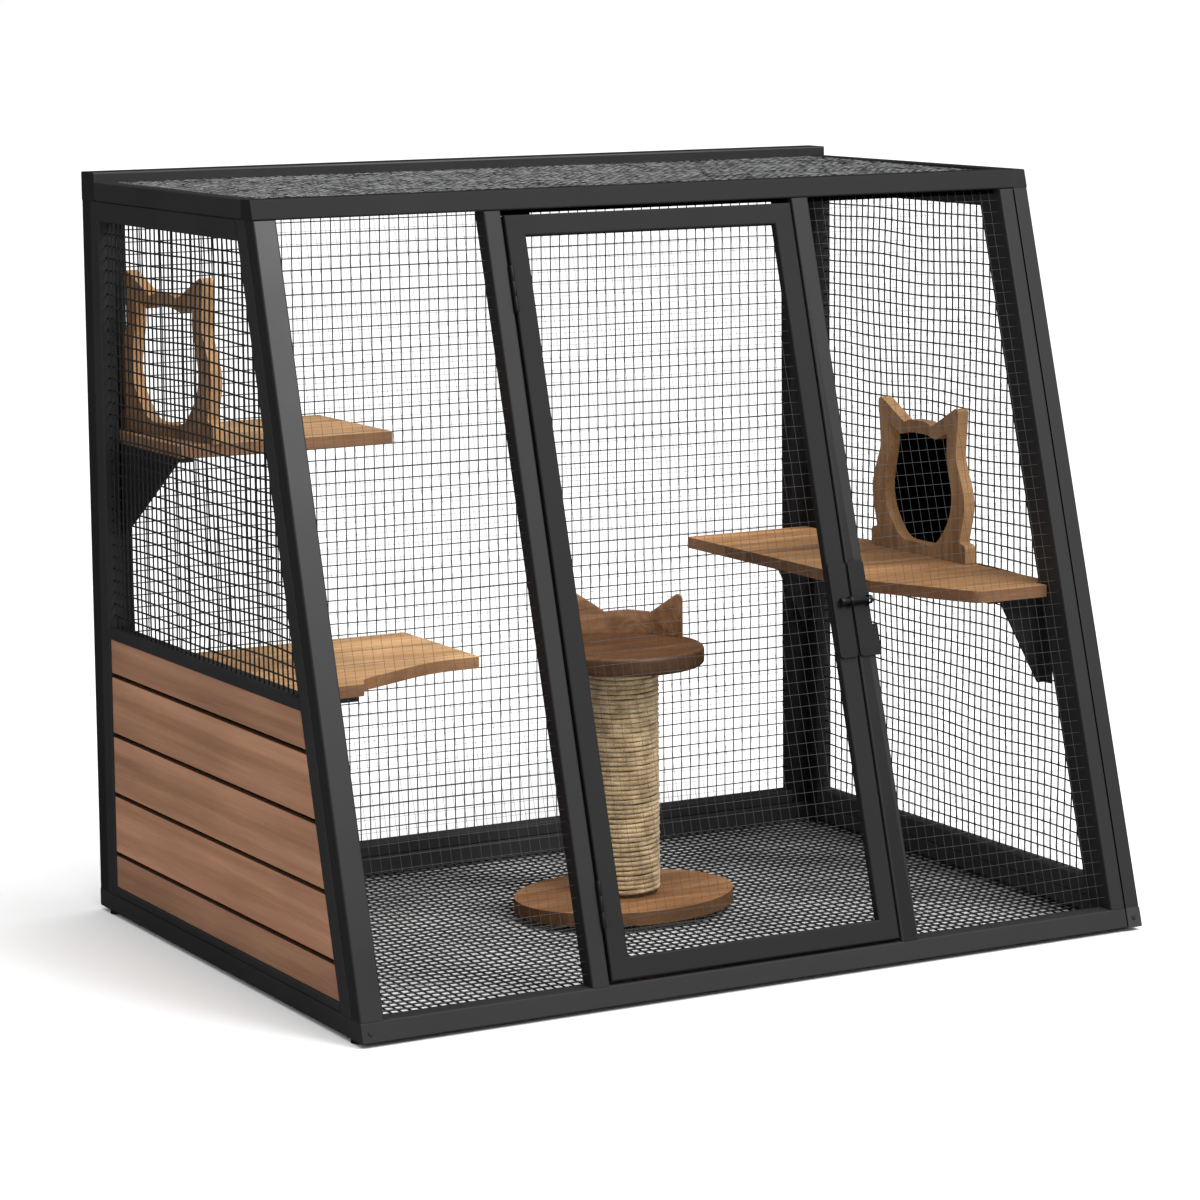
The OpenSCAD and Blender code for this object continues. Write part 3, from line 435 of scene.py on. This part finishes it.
# board painted black: so matt that it reads as a dark hole. The same black fills the slat gaps, the head
# strips and the corner seam as painted shade
blackBoardAndShade = dict(plainCoat, colour="#030303", shade="#020202", grainMm=3.0, rough=0.95, gloss=0.0)
# moulded rubber: dull, with a soft skin
footRubber = dict(plainCoat, colour="#161616", shade="#121212", depthMm=0.08, rough=0.8, gloss=0.3)
# wound paper: brown, dry and slightly furry
paperTube = dict(
    plainCoat, colour="#7c6244", shade="#6b5339", grainMm=6.0, depthMm=0.1, rough=0.9, gloss=0.2)


def plainFinish(name, plain):
    finish, tree = newFinish(name)
    place = addNode(tree, "ShaderNodeTexCoord").outputs["Object"]
    cloud = addNode(tree, "ShaderNodeTexNoise", {
        "Scale": mmPerMetre / plain["cloudMm"], "Detail": 3.0,
    }, {"Vector": place})
    # on the roof's wires this clouding is sharpened into painted glints
    cloudAndGlint = addNode(tree, "ShaderNodeMapRange", {
        "From Min": plain["cloudCut"], "From Max": 1 - plain["cloudCut"],
    }, {"Value": cloud.outputs["Fac"]})
    grain = addNode(tree, "ShaderNodeTexNoise", {
        "Scale": mmPerMetre / plain["grainMm"], "Detail": 2.0,
    }, {"Vector": place})
    tint = addNode(tree, "ShaderNodeMix", {
        "data_type": "RGBA", 6: toLinear(plain["shade"]), 7: toLinear(plain["colour"]),
    }, {0: cloudAndGlint.outputs["Result"]})
    rough = addNode(tree, "ShaderNodeMapRange", {
        **noiseSpan, "To Min": plain["rough"] - 0.05, "To Max": plain["rough"] + 0.07,
    }, {"Value": cloud.outputs["Fac"]})
    bump = addNode(tree, "ShaderNodeBump", {
        "Strength": 0.6, "Distance": plain["depthMm"] / mmPerMetre,
    }, {"Height": grain.outputs["Fac"]})
    surface = addNode(tree, "ShaderNodeBsdfPrincipled", {"Specular IOR Level": plain["gloss"]}, {
        "Base Color": tint.outputs[2],
        "Roughness": rough.outputs["Result"],
        "Normal": bump.outputs["Normal"],
    })
    addNode(tree, "ShaderNodeOutputMaterial", {}, {"Surface": surface.outputs["BSDF"]})
    return finish


finishes = {
    "frame_coat": powderCoatFinish("flatPowderCoat", railCoat),
    "post_coat": powderCoatFinish("satinPowderCoat", powderCoat),
    "jamb_coat": powderCoatFinish("halfSatinPowderCoat", jambCoat),
    "side_lit_coat": powderCoatFinish("sideLitPowderCoat", sideLitCoat),
    "low_lit_coat": powderCoatFinish("lowRailLitPowderCoat", lowLitCoat),
    "bracket_coat": powderCoatFinish("bracketPowderCoat", bracketCoat),
    "wire": plainFinish("coatedWeldedWire", weldedWire),
    "front_lit_wire": plainFinish("coatedFineLitWire", frontLitWire),
    "roof_lit_wire": plainFinish("coatedRoofLitWire", roofLitWire),
    "floor_shaded_wire": plainFinish("coatedFloorShadedWire", floorShadedWire),
    "board_wood": timberFinish("oiledShelfHardwood", shelfTimber),
    "upper_shaded_wood": timberFinish("oiledUpperShelfShadedHardwood", upperShadedTimber),
    "right_wood": timberFinish("oiledRightShelfHardwood", rightTimber),
    "hoop_wood": timberFinish("oiledHoopHardwood", hoopTimber),
    "slat_wood": timberFinish("stainedSlatHardwood", slatTimber),
    "post_wood": timberFinish("stainedPostHardwood", postTimber),
    "seat_wood": timberFinish("stainedSeatHardwood", seatTimber),
    "back_wood": timberFinish("stainedBackHardwood", backTimber),
    "core_board": plainFinish("woundPaperTube", paperTube),
    "sisal": sisalFinish("twistedSisal", sisalRope),
    "fitting": plainFinish("blackCoatedSteel", blackFitting),
    "plug_plastic": plainFinish("mouldedBlackPlug", mouldedPlug),
    "backing": plainFinish("blackBoardAndShadeFill", blackBoardAndShade),
    "foot_rubber": plainFinish("blackRubber", footRubber),
}
print("finishes made:", len(finishes))

# sharp CAD edges get the small round that a real tube, board or plate has: its width in millimetres and its
# steps. A wall thinner than the round holds it back. Corners within joinMm of each other are joined first, and
# an edge counts as sharp from an angle of sharpFrom degrees
edgeRounds = {
    "frame_coat": (1.4, 2),
    "board_wood": (2.2, 3),
    "slat_wood": (1.8, 2),
    "post_wood": (2.6, 3),
    "fitting": (0.6, 2),
    "plug_plastic": (1.0, 2),
    "foot_rubber": (1.2, 2),
    "backing": (0.5, 1),
}
edgeSearch = {"joinMm": 0.02, "sharpFrom": 35}


def dressNode(name, slotName, finish):
    piece = nodes[name]
    piece.data.materials.clear()
    piece.data.materials.append(finish)
    if slotName in edgeRounds:
        width, steps = edgeRounds[slotName]
        weld = piece.modifiers.new("joinCorners", "WELD")
        weld.merge_threshold = edgeSearch["joinMm"] / mmPerMetre
        bevel = piece.modifiers.new("edgeRound", "BEVEL")
        bevel.width = width / mmPerMetre
        bevel.segments = steps
        bevel.limit_method = "ANGLE"
        bevel.angle_limit = math.radians(edgeSearch["sharpFrom"])
        bevel.use_clamp_overlap = True


# nodes whose finish differs from the usual one of their slot
ownFinish = {
    "left_corner_post": "post_coat",
    "hinge_jamb": "jamb_coat",
    "latch_jamb": "jamb_coat",
    "right_corner_post": "jamb_coat",
    "right_front_stile": "jamb_coat",
    "left_front_stile": "side_lit_coat",
    "left_rear_stile": "side_lit_coat",
    "left_top_rail": "side_lit_coat",
    "left_mid_rail": "side_lit_coat",
    "left_bottom_rail": "side_lit_coat",
    "roof_left_rail": "side_lit_coat",
    "base_left_rail": "side_lit_coat",
    "base_front_rail": "side_lit_coat",
    "base_right_rail": "low_lit_coat",
    "base_rear_rail": "low_lit_coat",
    "rear_bottom_rail": "low_lit_coat",
    "right_bottom_rail": "low_lit_coat",
    "ridge_rail": "post_coat",
    "frame_bolts": "side_lit_coat",
    "left_brackets": "bracket_coat",
    "right_brackets": "bracket_coat",
    "upper_hoop": "hoop_wood",
    "right_hoop": "hoop_wood",
    "post_platform": "seat_wood",
    "post_backrest": "back_wood",
    "upper_shelf": "upper_shaded_wood",
    "right_shelf": "right_wood",
}
for part in frame["record"]["subparts"]:
    name = part["node"]
    slotName = part["material_slot"]
    dressNode(name, slotName, finishes[ownFinish.get(name, slotName)])
print("nodes dressed")


def addPiece(name, points, faces, finish, body, smooth=True):
    # a new mesh piece in the frame's metres, riding on a body
    data = bpy.data.meshes.new(name)
    data.from_pydata([tuple(p) for p in points], [], faces)
    if smooth:
        data.polygons.foreach_set("use_smooth", [True] * len(data.polygons))
    data.materials.append(finish)
    data.update()
    piece = putInScene(name, data)
    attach(piece, body)
    return piece


# welded mesh: round wires crossing in two layers, 21 to 25 mm apart
wireMesh = {
    "cellWide": 21.0,
    "cellHigh": 24.6,
    "sides": 5,
    "step": 42.0,  # a wire bends in straight pieces of about this length
    "shortest": 8,  # a corner wire no longer than this is left out
    "pressed": 0.92,  # the weld presses the two layers a little into each other
    "levelSide": 1,  # the side of the plane that the level wires lie on
    "held": 70,  # the waves grow to their full size over this distance from the frame
    "ripple": 1.0,
    "leanStart": None,
    "finish": "wire",
}
# springy mesh strays from true in slow waves: the millimetres per radian of each, across and up, how far a
# panel's seed moves two of them along, and how much of each goes into the sheet's movement
sheetWaves = {
    "slow": (143, 211),
    "quick": (97, 171),
    "bulge": (223, 187),
    "quickSeed": 2.3,
    "bulgeSeed": 1.7,
    "sideways": 0.5,
    "upwards": (0.7, 0.3),
    "outwards": 0.8,
}


def shallowWave(a, b, wave, seed):
    # how far the sheet strays at a point: sideways, up and out of its plane
    slowWide, slowHigh = sheetWaves["slow"]
    quickWide, quickHigh = sheetWaves["quick"]
    bulgeWide, bulgeHigh = sheetWaves["bulge"]
    slow = math.sin(a / slowWide + b / slowHigh + seed)
    quick = math.sin(a / quickWide - b / quickHigh + sheetWaves["quickSeed"] * seed)
    bulge = math.sin(a / bulgeWide + sheetWaves["bulgeSeed"] * seed) * math.sin(b / bulgeHigh + seed)
    slowShare, quickShare = sheetWaves["upwards"]
    sideways = sheetWaves["sideways"] * quick
    upwards = slowShare * slow + quickShare * quick
    outwards = sheetWaves["outwards"] * bulge
    return wave * sideways, wave * upwards, wave * outwards


def meshPanel(name, node, body, panel):
    # plane holds an origin and the directions across and up; limits are the opening's own, in millimetres
    origin, wide, high = (Vector(v) for v in panel["plane"])
    out = wide.cross(high).normalized()
    a0, a1, b0, b1 = panel["limits"]
    start = panel["leanStart"]
    ripple = panel["ripple"]
    radius = panel["radius"]
    sides = panel["sides"]
    layerGap = panel["levelSide"] * radius * panel["pressed"]
    points = []
    faces = []

    def leftEdge(b):
        return a0 if start is None else start + leanSlope * b

    def topEdge(a):
        return b1 if start is None else min(b1, (a - start) / leanSlope)

    def strand(begin, end, layer, cross):
        # one wire from edge to edge; layer is 1 for the level wires and -1 for the upright ones
        count = max(2, int(math.dist(begin, end) / panel["step"]))
        first = len(points)
        for i in range(count + 1):
            a = begin[0] + (end[0] - begin[0]) * i / count
            b = begin[1] + (end[1] - begin[1]) * i / count
            inset = min(a - leftEdge(b), a1 - a, b - b0, topEdge(a) - b)
            ease = min(1.0, max(0.0, inset) / panel["held"])
            da, db, dn = shallowWave(a / ripple, b / ripple, panel["wave"] * ease, panel["seed"])
            middle = origin + wide * (a + da) + high * (b + db) + out * (dn + layer * layerGap)
            for k in range(sides):
                turn = 2 * math.pi * k / sides
                points.append(middle + cross * (radius * math.cos(turn)) + out * (radius * math.sin(turn)))
        for i in range(count):
            for k in range(sides):
                p = first + i * sides + k
                q = first + i * sides + (k + 1) % sides
                faces.append((p, q, q + sides, p + sides))
        faces.append(tuple(first + k for k in reversed(range(sides))))
        faces.append(tuple(first + count * sides + k for k in range(sides)))

    uprightCount = round((a1 - a0) / panel["cellWide"])
    for i in range(1, uprightCount):
        a = a0 + (a1 - a0) * i / uprightCount
        if topEdge(a) - b0 > panel["shortest"]:
            strand((a, b0), (a, topEdge(a)), -1, wide)
    levelCount = round((b1 - b0) / panel["cellHigh"])
    for i in range(1, levelCount):
        b = b0 + (b1 - b0) * i / levelCount
        strand((leftEdge(b), b), (a1, b), 1, high)
    placed = [shopPoint(*p) for p in points]
    piece = addPiece(name, placed, faces, finishes[panel["finish"]], body)
    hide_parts(node)


# how deep the nets lie inside the frame's outer faces, and the door's net inside the front
netInset = 13.5
doorInset = 10
frontPlane = (onFront(0, netInset, 0), (1, 0, 0), onFront(0, 0, 1))
doorPlane = (onFront(0, doorInset, 0), (1, 0, 0), onFront(0, 0, 1))
# the photo shows the nets of the leaning front in finer wire than those of the sides and the rear
fineNet = dict(wireMesh, radius=0.36, finish="front_lit_wire")
meshPanels = {
    "leftWelded": ("left_mesh", "cage", dict(
        wireMesh, plane=((netInset, 0, 0), (0, 1, 0), (0, 0, 1)), limits=(262.9, 1220, 619, 1478),
        leanStart=88.3, radius=1.9, cellWide=22.6, cellHigh=25.3, wave=4.2, ripple=0.8, seed=0.4)),
    "rightWelded": ("right_mesh", "cage", dict(
        wireMesh, plane=((cageSize["width"] - netInset, 0, 0), (0, 1, 0), (0, 0, 1)),
        limits=(69.3, 1220, 80, 1478), leanStart=46.8, radius=1.7, cellWide=24.2, cellHigh=26.5,
        wave=3.6, ripple=0.55, seed=1.7)),
    "rearWelded": ("rear_mesh", "cage", dict(
        wireMesh, plane=((0, cageSize["baseDepth"] - netInset, 0), (1, 0, 0), (0, 0, 1)),
        limits=(76, 1724, 70, 1480), radius=1.35, cellWide=23.6, cellHigh=26.2, wave=1.0, seed=2.9)),
    # the roof's net rises a hair towards the ridge, and its level wires lie underneath
    "roofWelded": ("roof_mesh", "cage", dict(
        wireMesh, plane=((0, 0, 1549.5), (1, 0, 0), (0, 1, 0.0075)), limits=(36, 1764, 485, 1240),
        radius=0.66, wave=2.6, ripple=0.3, levelSide=-1, finish="roof_lit_wire", seed=3.3)),
    "floorWelded": ("floor_mesh", "cage", dict(
        wireMesh, plane=((0, 0, 6.0), (1, 0, 0), (0, 1, 0)), limits=(36, 1764, 54, 1260),
        radius=2.0, wave=2.2, ripple=0.3, finish="floor_shaded_wire", seed=4.1)),
    "frontLeftWelded": ("front_left_mesh", "cage", dict(
        fineNet, plane=frontPlane, limits=(50, 497, 45.8, 1582.7), wave=1.0, seed=5.2)),
    "frontRightWelded": ("front_right_mesh", "cage", dict(
        fineNet, plane=frontPlane, limits=(1250, 1729, 45.8, 1582.7), wave=2.2, seed=6.6)),
    "doorWelded": ("door_mesh", "door", dict(
        fineNet, plane=doorPlane, limits=(584.5, 1163, 92.6, 1527.3), wave=0.9, seed=7.5)),
}
for name, (node, body, panel) in meshPanels.items():
    meshPanel(name, node, body, panel)
print("welded mesh panels:", len(meshPanels))

# the faces of a box whose corners come front before back, then low before high, then left before right
boxFaces = ((0, 2, 3, 1), (4, 5, 7, 6), (0, 1, 5, 4), (2, 6, 7, 3), (0, 4, 6, 2), (1, 3, 7, 5))


def addBox(points, faces, corners):
    first = len(points)
    points.extend(corners)
    for face in boxFaces:
        faces.append(tuple(first + k for k in face))


# a thin tongue behind each gap between the slats, drawn black so that the gaps look dark: painted shade in the
# gaps, and no daylight shows through
slatGapShadeTongues = {
    "gaps": 4,
    "firstGap": 126,
    "pitch": 129,
    "gapHigh": 9,
    "overlap": 5.0,
    "front": 20.0,
    "back": 23.6,
    "rear": 1219.0,
    "behindPost": 92.0,
}


def cutTongues(tongue):
    points = []
    faces = []
    for i in range(tongue["gaps"]):
        gap = tongue["firstGap"] + i * tongue["pitch"]
        corners = []
        for x in (tongue["front"], tongue["back"]):
            for z in (gap - tongue["overlap"], gap + tongue["gapHigh"] + tongue["overlap"]):
                corners.append(shopPoint(x, tongue["behindPost"] + z * leanSlope, z))
                corners.append(shopPoint(x, tongue["rear"], z))
        addBox(points, faces, corners)
    addPiece("slatGapShadeTongues", points, faces, finishes["backing"], "cage", smooth=False)


cutTongues(slatGapShadeTongues)
print("slat gaps closed")

# thin dark strips under the roof's front rail, over the right bay and over the door, where they are deeper at
# its ends: painted shade, a dark sheet where the gap under the rail lies in shade. The table gives the left
# end, the right end and the depth of each
headShadeStrips = {
    "bays": ((1250.5, 1728.5, 11.0), (535.5, 612.0, 13.0), (612.0, 1178.0, 8.0), (1178.0, 1209.5, 13.0)),
    "underRail": 1519.9,
    "front": 24.0,
    "back": 30.0,
}


def leanBox(points, faces, left, right, edges):
    # a box along the slope; edges hold the depth, the lower end and the upper end, at its front and its back
    corners = []
    for d, low, high in edges:
        for v in (low, high):
            corners.append(shopPoint(*onFront(left, d, v)))
            corners.append(shopPoint(*onFront(right, d, v)))
    addBox(points, faces, corners)


def cutStrips(strips):
    points = []
    faces = []
    for left, right, drop in strips["bays"]:
        edges = []
        for d in (strips["front"], strips["back"]):
            # each strip reaches up to the rail's level underside, so its top edge follows that, not the slope
            top = (strips["underRail"] + d * leanSine) / leanCosine
            edges.append((d, top - drop, top))
        leanBox(points, faces, left, right, edges)
    addPiece("headShadeStrips", points, faces, finishes["backing"], "cage", smooth=False)


cutStrips(headShadeStrips)
print("head strips fitted")

# the joint between the right corner post and the side panel's stile: a dark filler, a hair proud of both,
# which is painted shade for the shadow in the gap between them
cornerShadeSeam = {
    "sides": (1762.6, 1765.4),
    "ends": (2.0, 1576.0),
    "depths": (-0.25, 1.5),
}


def fillSeam(seam):
    points = []
    faces = []
    leanBox(points, faces, *seam["sides"], [(d, *seam["ends"]) for d in seam["depths"]])
    addPiece("cornerShadeSeam", points, faces, finishes["backing"], "cage", smooth=False)


fillSeam(cornerShadeSeam)
print("corner seam filled")

# sisal: one rope wound about 48 times round the tube, three strands twisted together. It is laid by hand:
# some turns stand out, some sit high or low, and the rope swells and thins. Each of these is a middle value
# and its waves, with the size, the pace and the start of each
ropeWinding = {
    "axis": (955, 705),
    "bottom": 37.0,
    "top": 530.0,
    "outside": 79.0,
    "turns": 48,
    "stepsPerTurn": 92,
    "quickSteps": 40,
    "sides": 9,
    "strands": 3,
    "twistMm": 34.0,  # rope per radian of twist; slower than in real rope, so that the mesh can carry it
    "lobe": 0.10,
    "standOut": (-0.3, (0.42, 0.61, 0), (0.27, 1.37, 0), (0.18, 3.1, 1)),
    "sitHigh": (0.0, (0.45, 0.73, 0), (0.35, 1.19, 2), (0.25, 2.6, 0)),
    "girth": (0.94, (0.05, 0.47, 1), (0.04, 1.91, 0)),
}


def handLaid(turn, uneven):
    middle, *waves = uneven
    return middle + sum(size * math.sin(turn * pace + start) for size, pace, start in waves)


def windRope(rope):
    axisX, axisY = rope["axis"]
    pitch = (rope["top"] - rope["bottom"]) / rope["turns"]
    radius = pitch / 2
    middle = rope["outside"] - radius * (1 + rope["lobe"])
    stepsPerTurn = rope["stepsPerTurn"]
    sides = rope["sides"]
    count = (rope["turns"] - 1) * stepsPerTurn
    points = []
    faces = []
    for i in range(count + 1):
        turn = 2 * math.pi * i / stepsPerTurn
        twist = turn * middle / rope["twistMm"]
        height = rope["bottom"] + radius + pitch * i / stepsPerTurn
        standOut = handLaid(turn, rope["standOut"])
        sitHigh = handLaid(turn, rope["sitHigh"])
        girth = handLaid(turn, rope["girth"])
        for k in range(sides):
            around = 2 * math.pi * k / sides
            reach = radius * girth * (1 + rope["lobe"] * math.cos(rope["strands"] * (around - twist)))
            r = middle + standOut + reach * math.cos(around)
            z = height + sitHigh + reach * math.sin(around)
            z = max(rope["bottom"], min(rope["top"], z))
            points.append(shopPoint(axisX + r * math.cos(turn), axisY + r * math.sin(turn), z))
    for i in range(count):
        for k in range(sides):
            p = i * sides + k
            q = i * sides + (k + 1) % sides
            faces.append((p, p + sides, q + sides, q))
    faces.append(tuple(range(sides)))
    faces.append(tuple(count * sides + k for k in reversed(range(sides))))
    piece = addPiece("sisalWinding", points, faces, finishes["sisal"], "cage")
    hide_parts("sisal_rope")


windRope(ropeWinding)

# the tube that the rope is wound on
ropeTube = {
    "axis": ropeWinding["axis"],
    "bottom": ropeWinding["bottom"],
    "top": ropeWinding["top"],
    "outside": 70.0,
    "wall": 4.0,
    "sides": 64,
}


def rollTube(tube):
    axisX, axisY = tube["axis"]
    bottom, top = tube["bottom"], tube["top"]
    outside = tube["outside"]
    inside = outside - tube["wall"]
    sides = tube["sides"]
    rings = [(outside, bottom), (outside, top), (inside, top), (inside, bottom)]
    points = []
    faces = []
    for radius, height in rings:
        for k in range(sides):
            turn = 2 * math.pi * k / sides
            points.append(shopPoint(axisX + radius * math.cos(turn), axisY + radius * math.sin(turn), height))
    for ring in range(len(rings)):
        for k in range(sides):
            p = ring * sides + k
            q = ring * sides + (k + 1) % sides
            n = (ring + 1) % len(rings) * sides
            faces.append((p, q, n + (k + 1) % sides, n + k))
    piece = addPiece("ropeTube", points, faces, finishes["core_board"], "cage")
    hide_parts("post_core")


rollTube(ropeTube)
print("scratching post wound")

# studio: an endless pale floor, an even white surround, one large softbox in front, to the right and raised,
# and soft light from overhead. The surround and floor are kept out of the gloss, so black coats stay black
studio = {
    "floorHalf": 200.0,
    "floorColour": "#dedede",
    "floorShade": "#dcdcdc",
    "floorCloudMm": 2500,
    "surround": 1.0,
    "boxSize": 2.6,
    "boxPlace": (1.9, -4.75, 4.8),
    "boxAim": (0.0, 0.0, 0.8),
    "boxPower": 300,
    "ceilingStrength": 2.5,
    "ceilingSpread": 50,
    "ceilingTilt": (14, 8),
}


def layFloor(light):
    half = light["floorHalf"]
    corners = [(-half, -half, 0), (half, -half, 0), (half, half, 0), (-half, half, 0)]
    floorData = bpy.data.meshes.new("paleFloor")
    floorData.from_pydata(corners, [], [(0, 1, 2, 3)])
    floor = putInScene("paleFloor", floorData)
    finish, tree = newFinish("paleStudioFloor")
    place = addNode(tree, "ShaderNodeTexCoord").outputs["Object"]
    cloud = addNode(tree, "ShaderNodeTexNoise", {
        "Scale": mmPerMetre / light["floorCloudMm"], "Detail": 2.0,
    }, {"Vector": place})
    tint = addNode(tree, "ShaderNodeMix", {
        "data_type": "RGBA", 6: toLinear(light["floorShade"]), 7: toLinear(light["floorColour"]),
    }, {0: cloud.outputs["Fac"]})
    surface = addNode(tree, "ShaderNodeBsdfPrincipled", {"Roughness": 0.9, "Specular IOR Level": 0.1}, {
        "Base Color": tint.outputs[2],
    })
    addNode(tree, "ShaderNodeOutputMaterial", {}, {"Surface": surface.outputs["BSDF"]})
    floorData.materials.append(finish)
    floor.visible_glossy = False


def setStudio(light):
    world = bpy.data.worlds.new("softSurround")
    bpy.context.scene.world = world
    world.use_nodes = True
    world.node_tree.nodes.clear()
    surround = addNode(world.node_tree, "ShaderNodeBackground", {
        "Color": (1, 1, 1, 1), "Strength": light["surround"],
    })
    addNode(world.node_tree, "ShaderNodeOutputWorld", {}, {"Surface": surround.outputs[0]})
    world.cycles_visibility.glossy = False
    layFloor(light)
    boxData = bpy.data.lights.new("softbox", "AREA")
    boxData.shape = "SQUARE"
    boxData.size = light["boxSize"]
    boxData.energy = light["boxPower"]
    box = putInScene("softbox", boxData)
    box.location = light["boxPlace"]
    aim = Vector(light["boxAim"]) - box.location
    box.rotation_euler = aim.to_track_quat("-Z", "Y").to_euler()
    ceilingData = bpy.data.lights.new("ceilingLight", "SUN")
    ceilingData.energy = light["ceilingStrength"]
    ceilingData.angle = math.radians(light["ceilingSpread"])
    ceiling = putInScene("ceilingLight", ceilingData)
    ceiling.rotation_euler = [math.radians(v) for v in light["ceilingTilt"]] + [0.0]
    bpy.context.scene.view_settings.view_transform = "Standard"
    bpy.context.scene.view_settings.look = "None"


setStudio(studio)
print("studio set")
